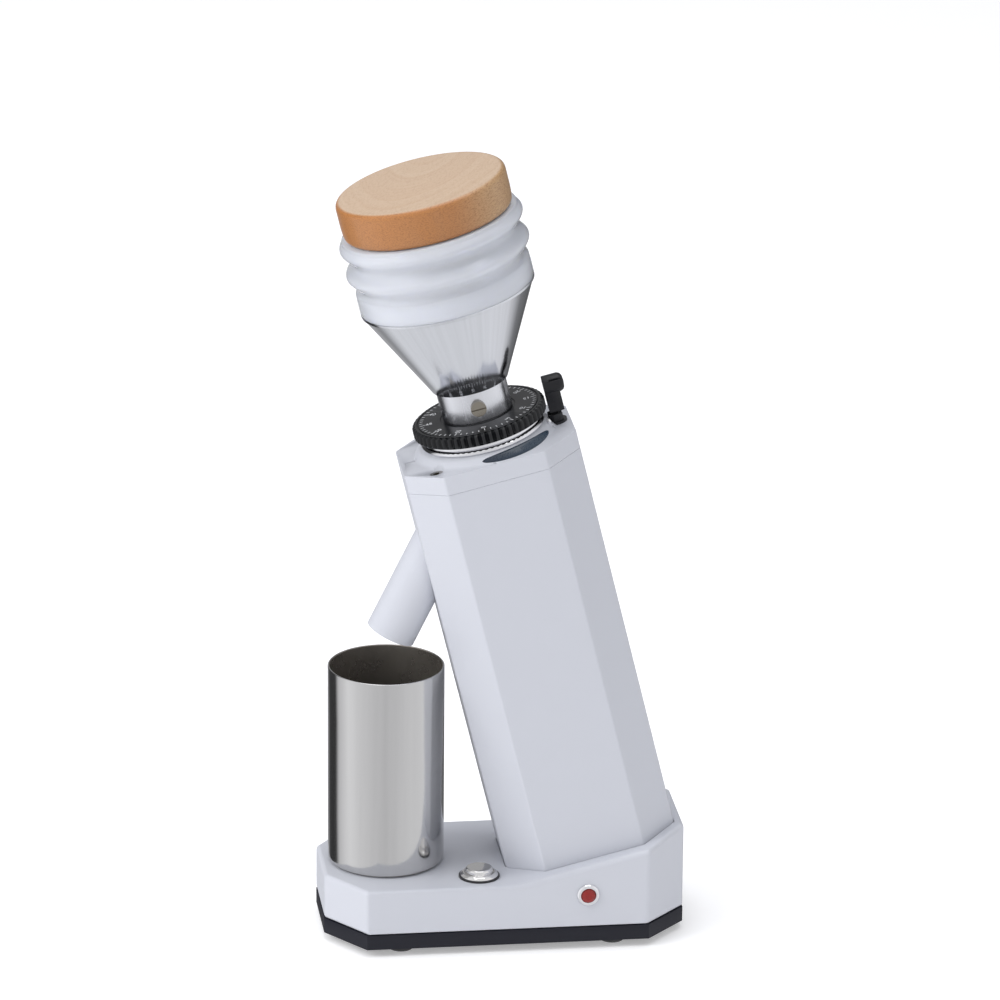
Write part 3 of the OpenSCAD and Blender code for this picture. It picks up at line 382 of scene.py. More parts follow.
def skin(name, tint, grain, rough, depth, dust, wear, metallic=0.0, **constants):
    """Moulded, cast, painted or rubber finish."""
    made, tree, shader, at = start_material(name, tint, metallic, **constants)
    fine = place_group(
        tree, surface_grain, Vector=at, Scale=grain, Smoothest=rough[0], Roughest=rough[1]
    )
    tree.links.new(fine["Roughness"], shader.inputs["Roughness"])
    aged = place_group(tree, dust_and_wear, Vector=at, Color=(*tint, 1), Dust=dust, Wear=wear)
    tree.links.new(aged["Color"], shader.inputs["Base Color"])
    bump(tree, shader, fine["Height"], depth)
    return made


def in_frame(tree, at, place):
    """Object coordinates moved into a turned piece's own frame, still in metres."""
    back = (place @ Matrix.Scale(1 / MM, 4)).inverted()
    made = add_node(
        tree,
        "ShaderNodeMapping",
        {"Vector": at, "Location": back.translation, "Rotation": tuple(back.to_euler())},
        vector_type="POINT",
    )
    return made.outputs["Vector"]


def turned_metal(
    name, tint, place, rings, streaks, rough, depth, ring_share, shade, **constants
):
    """Turned or brushed metal with marks round the piece's axis."""
    made, tree, shader, at = start_material(name, tint, 1.0, **constants)
    lines = place_group(
        tree,
        turned_lines,
        Vector=in_frame(tree, at, place),
        Rings=rings,
        Streaks=streaks,
        Smoothest=rough[0],
        Roughest=rough[1],
    )
    tree.links.new(lines["Roughness"], shader.inputs["Roughness"])
    height = calc(
        tree,
        "ADD",
        calc(tree, "MULTIPLY", lines["Ring height"], ring_share),
        calc(tree, "MULTIPLY", lines["Streak height"], 1 - ring_share),
    )
    bump(tree, shader, height, depth)
    ramp = add_node(tree, "ShaderNodeValToRGB", {"Fac": lines["Mask"]})
    dark = tuple(c * (1 - shade) for c in tint)
    ramp.color_ramp.elements[0].position, ramp.color_ramp.elements[1].position = 0.35, 0.65
    ramp.color_ramp.elements[0].color, ramp.color_ramp.elements[1].color = (*dark, 1), (*tint, 1)
    tree.links.new(ramp.outputs["Color"], shader.inputs["Base Color"])
    return made


def maple(colours):
    """Maple: pale face grain, warmer side grain with short dark pores and a painted highlight towards
    one side, under a clear varnish.
    """
    made, tree, shader, at = start_material(
        "maple", colours.maple_face, Coat_Weight=0.5, Coat_Roughness=0.16, Specular_IOR_Level=0.4
    )
    own = in_frame(tree, at, TOWER)
    part = add_node(tree, "ShaderNodeSeparateXYZ", {"Vector": own}).outputs
    bend = noise(tree, own, 22.0, 2.0)
    slanted = calc(tree, "ADD", part["Y"], calc(tree, "MULTIPLY", part["X"], 0.35))
    along = calc(tree, "SUBTRACT", part["X"], calc(tree, "MULTIPLY", part["Y"], 0.35))
    waved = calc(tree, "ADD", slanted, calc(tree, "MULTIPLY", bend, 0.012))
    # The growth rings cut the face as nested arches
    arch = add_node(
        tree,
        "ShaderNodeVectorMath",
        {
            0: add_node(
                tree,
                "ShaderNodeCombineXYZ",
                {"X": calc(tree, "MULTIPLY", calc(tree, "ADD", along, 0.055), 0.45), "Y": waved},
            ).outputs[0]
        },
        operation="LENGTH",
    ).outputs["Value"]
    rings_at = add_node(
        tree,
        "ShaderNodeCombineXYZ",
        {
            "X": calc(tree, "MULTIPLY", arch, 330.0),
            "Y": calc(tree, "MULTIPLY", along, 8.0),
            "Z": calc(tree, "MULTIPLY", part["Z"], 60.0),
        },
    )
    rings = noise(tree, rings_at.outputs[0], 1.0, 3.0)
    pores_at = add_node(
        tree,
        "ShaderNodeCombineXYZ",
        {
            "X": calc(tree, "MULTIPLY", along, 500.0),
            "Y": calc(tree, "MULTIPLY", waved, 1100.0),
            "Z": calc(tree, "MULTIPLY", part["Z"], 2600.0),
        },
    )
    pores = noise(tree, pores_at.outputs[0], 1.0, 2.0)
    radius = add_node(
        tree,
        "ShaderNodeVectorMath",
        {0: add_node(tree, "ShaderNodeCombineXYZ", {"X": part["X"], "Y": part["Y"]}).outputs[0]},
        operation="LENGTH",
    ).outputs["Value"]
    side = rescaled(tree, radius, (LID_R - 2.6) * MM, (LID_R - 0.9) * MM, smooth=True)
    # Painted highlight: the side grain turns paler towards +Y, where light falls on the lid's side.
    painted_highlight_share = rescaled(tree, part["Y"], 0.008, 0.034, smooth=True)
    side_with_painted_highlight = mix(tree, painted_highlight_share, (*colours.maple_side, 1), (0.50, 0.31, 0.15, 1))
    tint = mix(tree, side, (*colours.maple_face, 1), side_with_painted_highlight)
    band = rescaled(tree, rings, 0.32, 0.68)
    dark = mix(tree, calc(tree, "MULTIPLY", band, 0.22), tint, (0.38, 0.20, 0.10, 1))
    pore = rescaled(tree, pores, 0.46, 0.66)
    share = calc(tree, "ADD", 0.14, calc(tree, "MULTIPLY", side, 0.42))
    final = mix(tree, calc(tree, "MULTIPLY", pore, share), dark, (0.22, 0.09, 0.03, 1))
    tree.links.new(final, shader.inputs["Base Color"])
    rough = rescaled(tree, rings, 0.0, 1.0, 0.42, 0.58)
    tree.links.new(rough, shader.inputs["Roughness"])
    bump(tree, shader, pores, 6e-6)
    return made


def mix(tree, share, first, second):
    made = tree.nodes.new("ShaderNodeMix")
    made.data_type = "RGBA"
    for socket, value in zip((made.inputs[0], made.inputs[6], made.inputs[7]), (share, first, second)):
        if isinstance(value, bpy.types.NodeSocket):
            tree.links.new(value, socket)
        else:
            socket.default_value = value
    return made.outputs[2]


def silicone(colours):
    """Milky translucent silicone, with clouding through the wall."""
    made, tree, shader, at = start_material(
        "silicone",
        colours.silicone,
        Transmission_Weight=0.45,
        IOR=1.3,
        Coat_Weight=0.8,
        Coat_Roughness=0.12,
        Subsurface_Weight=0.2,
        Subsurface_Radius=(0.006, 0.006, 0.008),
        Subsurface_Scale=1.0,
        Specular_IOR_Level=0.6,
    )
    fine = place_group(
        tree, surface_grain, Vector=at, Scale=700.0, Smoothest=0.18, Roughest=0.28
    )
    tree.links.new(fine["Roughness"], shader.inputs["Roughness"])
    cloud = noise(tree, at, 35.0, 2.0)
    pale = tuple(min(1, c * 1.08) for c in colours.silicone)
    tint = mix(tree, cloud, (*colours.silicone, 1), (*pale, 1))
    tree.links.new(tint, shader.inputs["Base Color"])
    bump(tree, shader, fine["Height"], 3e-6)
    return made


def enamel(colours):
    """Badge enamel: navy, paler towards one end, under a clear coat."""
    made, tree, shader, at = start_material(
        "badge_enamel", colours.badge, Coat_Weight=0.25, Coat_Roughness=0.05, Roughness=0.25
    )
    part = add_node(tree, "ShaderNodeSeparateXYZ", {"Vector": in_frame(tree, at, TOWER)}).outputs
    flakes = noise(tree, at, 2500.0, 1.0)
    end = rescaled(tree, part["Y"], -0.006, 0.03, smooth=True)
    tint = mix(tree, end, (*colours.badge, 1), (0.010, 0.030, 0.058, 1))
    tint = mix(
        tree, calc(tree, "MULTIPLY", flakes, 0.15), tint, (0.04, 0.09, 0.14, 1)
    )
    tree.links.new(tint, shader.inputs["Base Color"])
    rough = rescaled(tree, flakes, 0.0, 1.0, 0.2, 0.35)
    tree.links.new(rough, shader.inputs["Roughness"])
    return made


def lens_red(colours):
    """Red moulded lens of the lamp."""
    made, tree, shader, at = start_material(
        "lens_red",
        colours.lens,
        Transmission_Weight=0.15,
        IOR=1.49,
        Coat_Weight=0.15,
        Coat_Roughness=0.04,
        Emission_Strength=0.03,
    )
    shader.inputs["Emission Color"].default_value = (0.9, 0.05, 0.02, 1)
    depth = add_node(tree, "ShaderNodeTexVoronoi", {"Vector": at, "Scale": 700.0})
    rough = rescaled(tree, depth.outputs["Distance"], 0.0, 1.0, 0.05, 0.18)
    tree.links.new(rough, shader.inputs["Roughness"])
    tint = mix(tree, depth.outputs["Distance"], (*colours.lens, 1), (0.25, 0.008, 0.006, 1))
    tree.links.new(tint, shader.inputs["Base Color"])
    bump(tree, shader, depth.outputs["Distance"], 8e-5)
    return made


MATERIALS = {}
CUP_PLACE = Matrix.Translation((CUP_AT.x * MM, CUP_AT.y * MM, 0)) @ ROW
BUTTON_PLACE = Matrix.Translation((BUTTON_AT.x * MM, BUTTON_AT.y * MM, 0)) @ ROW
LAMP_PLACE = (
    Matrix.Translation((0, LAMP_AT.y * MM, LAMP_AT.z * MM)) @ Matrix.Rotation(pi / 2, 4, "Y") @ ROW
)


def finishes():
    """Every material of the grinder by name, built once."""
    if MATERIALS:
        return MATERIALS
    colours = bpy.context.scene.grinder_colours
    MATERIALS.update(
        paint=skin("satin_paint", colours.paint, 650.0, (0.34, 0.42), 3e-6, 0.0, 0.06),
        plastic=skin(
            "moulded_plastic",
            colours.plastic,
            900.0,
            (0.42, 0.55),
            8e-6,
            0.0,
            0.02,
            Specular_IOR_Level=0.2,
        ),
        black=skin(
            "black_plastic",
            (0.006, 0.006, 0.0085),
            900.0,
            (0.32, 0.45),
            6e-6,
            0.0,
            0.02,
            Specular_IOR_Level=0.35,
        ),
        dial=skin(
            "dial_black",
            colours.dial,
            1200.0,
            (0.26, 0.36),
            5e-6,
            0.0,
            0.03,
            Specular_IOR_Level=0.4,
        ),
        rubber=skin("rubber", (0.012, 0.012, 0.013), 700.0, (0.6, 0.8), 1.5e-5, 0.05, 0.05),
        ink=skin("scale_ink", (0.80, 0.81, 0.83), 900.0, (0.4, 0.6), 2e-6, 0.0, 0.0),
        ring=skin("ring_plastic", (0.62, 0.63, 0.64), 600.0, (0.4, 0.5), 5e-6, 0.02, 0.02),
        cast=skin("cast_alloy", (0.46, 0.46, 0.47), 500.0, (0.38, 0.55), 2.5e-5, 0.02, 0.1, 1.0),
        screw=skin("screw_steel", (0.36, 0.34, 0.31), 1500.0, (0.2, 0.32), 3e-6, 0.02, 0.1, 1.0),
        nickel=skin("nickel", (0.25, 0.225, 0.185), 1500.0, (0.16, 0.26), 3e-6, 0.0, 0.05, 1.0),
        # Painted shade: the inside of the cup is a darker, browner steel than the outside.
        cup_inside=skin(
            "cup_inside", (0.30, 0.275, 0.245), 2500.0, (0.24, 0.34), 3e-6, 0.0, 0.0, 0.75
        ),
        burr=skin("burr_steel", (0.36, 0.36, 0.38), 1800.0, (0.24, 0.4), 4e-6, 0.0, 0.25, 1.0),
        brass=skin("gear_brass", (0.68, 0.46, 0.17), 1500.0, (0.2, 0.35), 3e-6, 0.0, 0.2, 1.0),
        board=skin("board_green", (0.01, 0.10, 0.04), 800.0, (0.3, 0.4), 8e-6, 0.05, 0.0),
        hole=skin("shadow_black", (0.004, 0.004, 0.004), 900.0, (0.7, 0.8), 2e-6, 0.0, 0.0),
        chrome=turned_metal(
            "chrome", (0.80, 0.80, 0.82), TOWER, 2500, 30, (0.05, 0.09), 4e-7, 1.0, 0.04
        ),
        button_chrome=turned_metal(
            "button_chrome", (0.80, 0.79, 0.78), BUTTON_PLACE, 4000, 30, (0.05, 0.10), 6e-7, 1.0, 0.05
        ),
        lamp_chrome=turned_metal(
            "lamp_chrome", (0.82, 0.82, 0.84), LAMP_PLACE, 4000, 30, (0.05, 0.09), 5e-7, 1.0, 0.05
        ),
        brushed=turned_metal(
            "brushed_alloy", (0.74, 0.75, 0.785), TOWER, 6000, 8, (0.24, 0.28), 5e-7, 1.0, 0.04
        ),
        polished=turned_metal(
            "polished_alloy", (0.70, 0.71, 0.745), TOWER, 4000, 26, (0.10, 0.15), 1.5e-6, 0.6, 0.05
        ),
        steel=turned_metal(
            "cup_steel",
            (0.60, 0.595, 0.59),
            CUP_PLACE,
            9000,
            6,
            (0.11, 0.16),
            1e-6,
            1.0,
            0.04,
            Anisotropic=0.3,
        ),
        maple=maple(colours),
        silicone=silicone(colours),
        badge=enamel(colours),
        lens=lens_red(colours),
    )
    return MATERIALS


# Mesh helpers


def rounded(points, steps=5):
    """A closed profile (r, z) or (r, z, fillet), with those corners rounded."""
    made = []
    for i, point in enumerate(points):
        here = Vector(point[:2])
        fillet = point[2] if len(point) > 2 else 0
        before = Vector(points[i - 1][:2]) - here
        after = Vector(points[(i + 1) % len(points)][:2]) - here
        if not fillet or before.length == 0 or after.length == 0:
            made.append(tuple(here))
            continue
        reach_back = min(fillet, 0.49 * before.length, 0.49 * after.length)
        start, end = here + before.normalized() * reach_back, here + after.normalized() * reach_back
        for k in range(steps + 1):
            t = k / steps
            made.append(tuple(start * (1 - t) ** 2 + here * 2 * t * (1 - t) + end * t * t))
    return made


def turned_tree():
    """Turns a profile about Z. The profile's points come in order as the modifier's own mesh."""
    tree, given, out = group(
        "Turned piece",
        "GeometryNodeTree",
        [
            ("Geometry", GEOMETRY, None),
            ("Segments", INT, 96),
            ("Lobes", INT, 0),
            ("Lobe depth", FLOAT, 0.0),
            ("Lobes from", FLOAT, 0.0),
            ("Material", MATERIAL, None),
        ],
        [("Geometry", GEOMETRY)],
    )
    rows = add_node(tree, "GeometryNodeAttributeDomainSize", {"Geometry": given["Geometry"]})
    grid = add_node(
        tree,
        "GeometryNodeMeshGrid",
        {
            "Size X": 1.0,
            "Size Y": 1.0,
            "Vertices X": calc(tree, "ADD", given["Segments"], 1.0),
            "Vertices Y": rows.outputs["Point Count"],
        },
    )
    at = add_node(
        tree,
        "ShaderNodeSeparateXYZ",
        {"Vector": add_node(tree, "GeometryNodeInputPosition").outputs[0]},
    ).outputs
    turn = calc(tree, "MULTIPLY", calc(tree, "ADD", at["X"], 0.5), 2 * pi)
    row = calc(
        tree,
        "ROUND",
        calc(
            tree,
            "MULTIPLY",
            calc(tree, "ADD", at["Y"], 0.5),
            calc(tree, "SUBTRACT", rows.outputs["Point Count"], 1.0),
        ),
    )
    sample = tree.nodes.new("GeometryNodeSampleIndex")
    sample.data_type = "FLOAT_VECTOR"
    sample.domain = "POINT"
    tree.links.new(given["Geometry"], sample.inputs["Geometry"])
    tree.links.new(add_node(tree, "GeometryNodeInputPosition").outputs[0], sample.inputs["Value"])
    tree.links.new(row, sample.inputs["Index"])
    point = add_node(tree, "ShaderNodeSeparateXYZ", {"Vector": sample.outputs[0]}).outputs
    swing = calc(tree, "COSINE", calc(tree, "MULTIPLY", turn, given["Lobes"]))
    dip = calc(tree, "POWER", calc(tree, "MULTIPLY", calc(tree, "ADD", swing, 1.0), 0.5), 1.6)
    outside = calc(tree, "GREATER_THAN", point["X"], given["Lobes from"])
    cut = calc(
        tree, "MULTIPLY", calc(tree, "MULTIPLY", dip, given["Lobe depth"]), outside
    )
    radius = calc(tree, "SUBTRACT", point["X"], cut)
    place = add_node(
        tree,
        "ShaderNodeCombineXYZ",
        {
            "X": calc(tree, "MULTIPLY", radius, calc(tree, "COSINE", turn)),
            "Y": calc(tree, "MULTIPLY", radius, calc(tree, "SINE", turn)),
            "Z": point["Z"],
        },
    )
    shaped = add_node(
        tree,
        "GeometryNodeSetPosition",
        {"Geometry": grid.outputs["Mesh"], "Position": place.outputs[0]},
    )
    merged = add_node(
        tree, "GeometryNodeMergeByDistance", {"Geometry": shaped.outputs[0], "Distance": 0.001}
    )
    real = add_node(tree, "GeometryNodeRealizeInstances", {"Geometry": merged.outputs[0]})
    done = add_node(
        tree,
        "GeometryNodeSetMaterial",
        {"Geometry": real.outputs[0], "Material": given["Material"]},
    )
    tree.links.new(done.outputs[0], out["Geometry"])
    return tree


def repeat_tree():
    """Repeats the modifier's own mesh round Z, with some copies drawn out towards the axis."""
    tree, given, out = group(
        "Repeated round an axis",
        "GeometryNodeTree",
        [
            ("Geometry", GEOMETRY, None),
            ("Count", INT, 12),
            ("Radius", FLOAT, 10.0),
            ("Long every", INT, 5),
            ("Long share", FLOAT, 1.0),
            ("Material", MATERIAL, None),
        ],
        [("Geometry", GEOMETRY)],
    )
    spots = add_node(
        tree, "GeometryNodeMeshLine", {"Count": given["Count"], "Offset": (0.0, 0.0, 0.0)}
    )
    index = add_node(tree, "GeometryNodeInputIndex").outputs[0]
    turn = calc(
        tree, "DIVIDE", calc(tree, "MULTIPLY", index, 2 * pi), given["Count"]
    )
    spot = add_node(
        tree,
        "ShaderNodeCombineXYZ",
        {
            "X": calc(tree, "MULTIPLY", calc(tree, "COSINE", turn), given["Radius"]),
            "Y": calc(tree, "MULTIPLY", calc(tree, "SINE", turn), given["Radius"]),
        },
    )
    placed = add_node(
        tree,
        "GeometryNodeSetPosition",
        {"Geometry": spots.outputs[0], "Position": spot.outputs[0]},
    )
    is_long = calc(
        tree, "LESS_THAN", calc(tree, "MODULO", index, given["Long every"]), 0.5
    )
    extra = calc(tree, "SUBTRACT", given["Long share"], 1.0)
    stretch = calc(tree, "ADD", 1.0, calc(tree, "MULTIPLY", is_long, extra))
    copies = add_node(
        tree,
        "GeometryNodeInstanceOnPoints",
        {
            "Points": placed.outputs[0],
            "Instance": given["Geometry"],
            "Rotation": add_node(tree, "ShaderNodeCombineXYZ", {"Z": turn}).outputs[0],
            "Scale": add_node(
                tree, "ShaderNodeCombineXYZ", {"X": stretch, "Y": 1.0, "Z": 1.0}
            ).outputs[0],
        },
    )
    real = add_node(tree, "GeometryNodeRealizeInstances", {"Geometry": copies.outputs[0]})
    done = add_node(
        tree,
        "GeometryNodeSetMaterial",
        {"Geometry": real.outputs[0], "Material": given["Material"]},
    )
    tree.links.new(done.outputs[0], out["Geometry"])
    return tree


GEOMETRY_TREES = {}


def grown(name, mesh, make_tree, material, place, smooth=35.0, **inputs):
    """A new piece: what a Geometry Nodes tree makes of mesh, as a plain mesh at its place."""
    if make_tree.__name__ not in GEOMETRY_TREES:
        GEOMETRY_TREES[make_tree.__name__] = make_tree()
    tree = GEOMETRY_TREES[make_tree.__name__]
    seed = bpy.data.objects.new(name, mesh)
    bpy.context.scene.collection.objects.link(seed)
    modifier = seed.modifiers.new("Build", "NODES")
    modifier.node_group = tree
    inputs["Material"] = material
    for item in tree.interface.items_tree:
        if item.in_out == "INPUT" and item.name.replace(" ", "_") in inputs:
            modifier[item.identifier] = inputs[item.name.replace(" ", "_")]
    bpy.context.view_layer.update()
    made = bpy.data.meshes.new_from_object(
        seed.evaluated_get(bpy.context.evaluated_depsgraph_get())
    )
    bpy.data.objects.remove(seed)
    made.name = name
    made.transform(place)
    return finished(name, made, material, smooth)


def finished(name, mesh, material, smooth=35.0):
    mesh.materials.clear()
    mesh.materials.append(material)
    for polygon in mesh.polygons:
        polygon.material_index = 0
    mesh.shade_smooth()
    mesh.set_sharp_from_angle(angle=radians(smooth))
    piece = bpy.data.objects.new(name, mesh)
    bpy.context.scene.collection.objects.link(piece)
    return piece


def turned(name, profile, material, place=TOWER, close=True, segments=None, smooth=35.0, **lobes):
    """A turned piece from a profile (r, z) in millimetres, anticlockwise with z up."""
    points = [(max(0.0, r), 0.0, z) for r, z in profile]
    if close:
        points.append(points[0])
    mesh = bpy.data.meshes.new(name)
    mesh.from_pydata(points, [], [])
    segments = segments or bpy.context.scene.grinder_sizes.segments
    return grown(name, mesh, turned_tree, material, place, smooth, Segments=segments, **lobes)


def merged_copy(node, flatten=0.3):
    """A CAD node's mesh with its loose triangles joined into whole faces."""
    work = bmesh.new()
    work.from_mesh(NODES[node].data)
    bmesh.ops.remove_doubles(work, verts=work.verts, dist=2e-6)
    bmesh.ops.dissolve_limit(
        work, angle_limit=radians(flatten), verts=work.verts, edges=work.edges, delimit=set()
    )
    return work


def edged_copy(name, node, material, width, weigh, segments=3, smooth=35.0, split=False):
    """A CAD node with rounded edges. weigh(edge) gives each edge its share of the width."""
    work = merged_copy(node)
    if split:
        bmesh.ops.triangulate(work, faces=work.faces)
    layer = work.edges.layers.float.new("bevel_weight_edge")
    for edge in work.edges:
        if len(edge.link_faces) == 2 and edge.calc_face_angle(0) > radians(12):
            edge[layer] = weigh(edge)
    mesh = bpy.data.meshes.new(name)
    work.to_mesh(mesh)
    work.free()
    piece = finished(name, mesh, material, smooth)
    bevel = piece.modifiers.new("Rounded edges", "BEVEL")
    bevel.width = width * MM
    bevel.segments = segments
    bevel.limit_method = "WEIGHT"
    bevel.use_clamp_overlap = False
    bevel.harden_normals = True
    bevel.miter_outer = "MITER_ARC"
    return piece


def stands_for(piece, node, slot=None, body=None, *more):
    """The piece rides on its node's body and stands for the node. The slot argument is not used."""
    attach(piece, body or NODES[node]["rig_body"])
    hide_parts(node, *more)
    return piece


# Pieces


class GRINDER_OT_housing(bpy.types.Operator):
    """Painted base, tower and cap, with rounded edges"""

    bl_idname = "grinder.housing"
    bl_label = "Housing, tower and cap"

    def execute(self, context):
        sizes, paint = context.scene.grinder_sizes, finishes()["paint"]
        low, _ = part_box("base_housing")

        def base_weight(edge):
            a, b = (v.co for v in edge.verts)
            across = (a + b) / 2
            if (b - a).length < 4 * MM or not edge.is_convex:
                return 0.0
            on_side = all(on_base(p / MM) for p in (a, b))
            if not on_side:
                return 0.0
            if abs((b - a).normalized().z) > 0.95:
                return 0.55
            return 1.0 if across.z > low.z + 3 * MM else 0.0

        stands_for(
            edged_copy("base_housing_skin", "base_housing", paint, sizes.base_edge, base_weight, 4),
            "base_housing",
            "white_paint",
        )

        def tower_weight(edge):
            a, b = (TOWER_BACK @ v.co for v in edge.verts)
            if (b - a).length < 5 or not edge.is_convex:
                return 0.0
            outside = all(on_tower(p) for p in (a, b))
            if not outside:
                return 0.0
            return 1.0 if abs((b - a).normalized().z) > 0.95 else 0.35

        stands_for(
            edged_copy("tower_skin", "tower_shell", paint, sizes.tower_edge, tower_weight),
            "tower_shell",
            "white_paint",
        )
        stands_for(
            edged_copy("cap_skin", "top_cap", paint, sizes.tower_edge, tower_weight, split=True),
            "top_cap",
            "white_paint",
        )
        return {"FINISHED"}


TOWER_BACK = TOWER.inverted()


def outline_test(points, cut_front, cut_rear):
    """A test for lying on the sides of a box whose upright corners are cut off."""
    low, high = points.min(0), points.max(0)

    def on_outline(p, slack=0.05):
        if abs(p[0] - low[0]) < slack or abs(p[0] - high[0]) < slack:
            return True
        if abs(p[1] - low[1]) < slack or abs(p[1] - high[1]) < slack:
            return True
        near = low[1] if p[1] < (low[1] + high[1]) / 2 else high[1]
        cut = cut_front if p[1] < (low[1] + high[1]) / 2 else cut_rear
        over_x = (high[0] - abs(p[0])) / cut[0]
        over_y = abs(p[1] - near) / cut[1]
        return abs(over_x + over_y - 1) < 0.02

    return on_outline


BASE_CUTS = (25, 19), (21, 20)
TOWER_CUTS = (17.5, 18), (17.5, 18)
on_base = outline_test(corners("base_housing", ROW), *BASE_CUTS)
on_tower = outline_test(corners("tower_shell", TOWER), *TOWER_CUTS)


class GRINDER_OT_chute(bpy.types.Operator):
    """Painted chute"""

    bl_idname = "grinder.chute"
    bl_label = "Chute"

    def execute(self, context):
        def rim_weight(edge):
            return 1.0 if edge.is_convex else 0.0

        piece = edged_copy("chute_skin", "chute_tube", finishes()["paint"], 0.25, rim_weight, 2)
        stands_for(piece, "chute_tube", "white_paint")
        return {"FINISHED"}


class GRINDER_OT_cup(bpy.types.Operator):
    """Brushed steel dosing cup"""

    bl_idname = "grinder.cup"
    bl_label = "Dosing cup"

    def execute(self, context):
        wall = context.scene.grinder_sizes.cup_wall
        r, low, high, foot = CUP_R, CUP_LOW, CUP_HIGH, 2.6
        steps = 8
        curve = [i / steps * pi / 2 for i in range(steps + 1)]
        profile = [(0, low + 0.35), (r - foot - 3.4, low + 0.35), (r - foot - 2.4, low)]
        profile += [(r - foot + foot * sin(a), low + foot - foot * cos(a)) for a in curve]
        profile += [(r, low + foot + (high - low - foot) * s) for s in (0.25, 0.5, 0.75)]
        lip = wall / 2
        profile += [
            (r - lip + lip * cos(a), high - lip + lip * sin(a))
            for a in [i / 10 * pi for i in range(11)]
        ]
        inner = foot - wall * 0.5
        profile += [(r - wall, low + foot + (high - low - foot) * s) for s in (0.75, 0.5, 0.25)]
        profile += [
            (r - wall - inner + inner * sin(a), low + wall + inner - inner * cos(a))
            for a in reversed(curve)
        ]
        profile += [(0, low + wall)]
        piece = turned(
            "cup_body", profile, finishes()["steel"], CUP_PLACE, close=False, segments=192
        )
        # The inner faces take the darker inside steel, which is painted shade.
        piece.data.materials.append(finishes()["cup_inside"])
        for face in piece.data.polygons:
            spot = CUP_PLACE.inverted() @ face.center
            if spot.xy.length < r - wall * 0.6 and spot.z > low + wall * 0.9:
                face.material_index = 1
        stands_for(piece, "dosing_cup", "cup_steel")
        return {"FINISHED"}


class GRINDER_OT_dial(bpy.types.Operator):
    """Lobed dial with its scale and numbers"""

    bl_idname = "grinder.dial"
    bl_label = "Adjusting dial"

    def execute(self, context):
        sizes, kit = context.scene.grinder_sizes, finishes()
        bore, r, low, high = NECK_R - 0.95, DIAL_R, DIAL_LOW, DIAL_HIGH
        profile = rounded(
            [
                (bore, low),
                (r - 1.6, low, 0.3),
                (r, low + 0.9, 0.6),
                (r, low + 2.5),
                (r, high - 2.2),
                (r, high - 0.9, 0.7),
                (r - 1.5, high, 0.5),
                (r - 2.6, high, 0.12),
                (r - 2.75, high - 0.4),
                (r - 3.15, high - 0.4),
                (r - 3.3, high, 0.12),
                (NECK_R + 1.4, high, 0.2),
                (NECK_R + 1.1, high - 0.35),
                (bore, high - 0.35),
            ]
        )
        piece = turned(
            "dial_body",
            profile,
            kit["dial"],
            segments=sizes.dial_lobes * 12,
            Lobes=sizes.dial_lobes,
            Lobe_depth=sizes.lobe_depth,
            Lobes_from=r - 1.55,
        )
        stands_for(piece, "adjust_dial", "dial_black")

        mark = bpy.data.meshes.new("mark")
        shape = bmesh.new()
        bmesh.ops.create_cube(shape, size=1)
        bmesh.ops.scale(shape, vec=(1.6, 0.34, 0.06), verts=shape.verts)
        bmesh.ops.translate(shape, vec=(-0.75, 0, 0.01), verts=shape.verts)
        shape.to_mesh(mark)
        shape.free()
        marks = grown(
            "dial_marks",
            mark,
            repeat_tree,
            kit["ink"],
            TOWER @ Matrix.Translation((0, 0, high)),
            Count=sizes.dial_marks,
            Radius=r - 4.0,
            Long_every=5,
            Long_share=1.7,
        )
        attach(marks, "dial")
        numbers = numerals(sizes, high, r - 8.6, kit["ink"])
        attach(numbers, "dial")
        return {"FINISHED"}


def numerals(sizes, level, radius, material):
    """Numbers at every fifth mark, reading outwards along the radius."""
    gathered = bmesh.new()
    count = sizes.dial_marks // 5
    for i in range(count):
        text = bpy.data.curves.new("numeral", "FONT")
        text.body = str(i * 5)
        text.size = sizes.numeral_size
        text.align_x, text.align_y = "CENTER", "CENTER"
        text.extrude = 0.03
        text.resolution_u = 3
        holder = bpy.data.objects.new("numeral", text)
        bpy.context.scene.collection.objects.link(holder)
        bpy.context.view_layer.update()
        shape = bpy.data.meshes.new_from_object(
            holder.evaluated_get(bpy.context.evaluated_depsgraph_get())
        )
        bpy.data.objects.remove(holder)
        turn = 2 * pi * i / count
        shape.transform(
            Matrix.Rotation(turn, 4, "Z")
            @ Matrix.Translation((radius, 0, level + 0.01))
            @ Matrix.Rotation(pi, 4, "Z")
        )
        gathered.from_mesh(shape)
        bpy.data.meshes.remove(shape)
    mesh = bpy.data.meshes.new("dial_numbers")
    gathered.to_mesh(mesh)
    gathered.free()
    mesh.transform(TOWER)
    return finished("dial_numbers", mesh, material, 20)


class GRINDER_OT_collar(bpy.types.Operator):
    """Chrome collar under the dial"""

    bl_idname = "grinder.collar"
    bl_label = "Collar"

    def execute(self, context):
        low, high, r = COLLAR_LOW, COLLAR_HIGH, COLLAR_R
        points = corners("collar_ring", TOWER)
        bore = np.hypot(points[:, 0], points[:, 1]).min()
        profile = rounded(
            [
                (bore, low),
                (r - 0.5, low, 0.2),
                (r, low + 0.5, 0.3),
                (r, high - 0.9, 0.4),
                (r - 0.8, high, 0.4),
                (bore, high, 0.2),
            ]
        )
        stands_for(turned("collar_body", profile, finishes()["chrome"]), "collar_ring", "chrome")
        return {"FINISHED"}


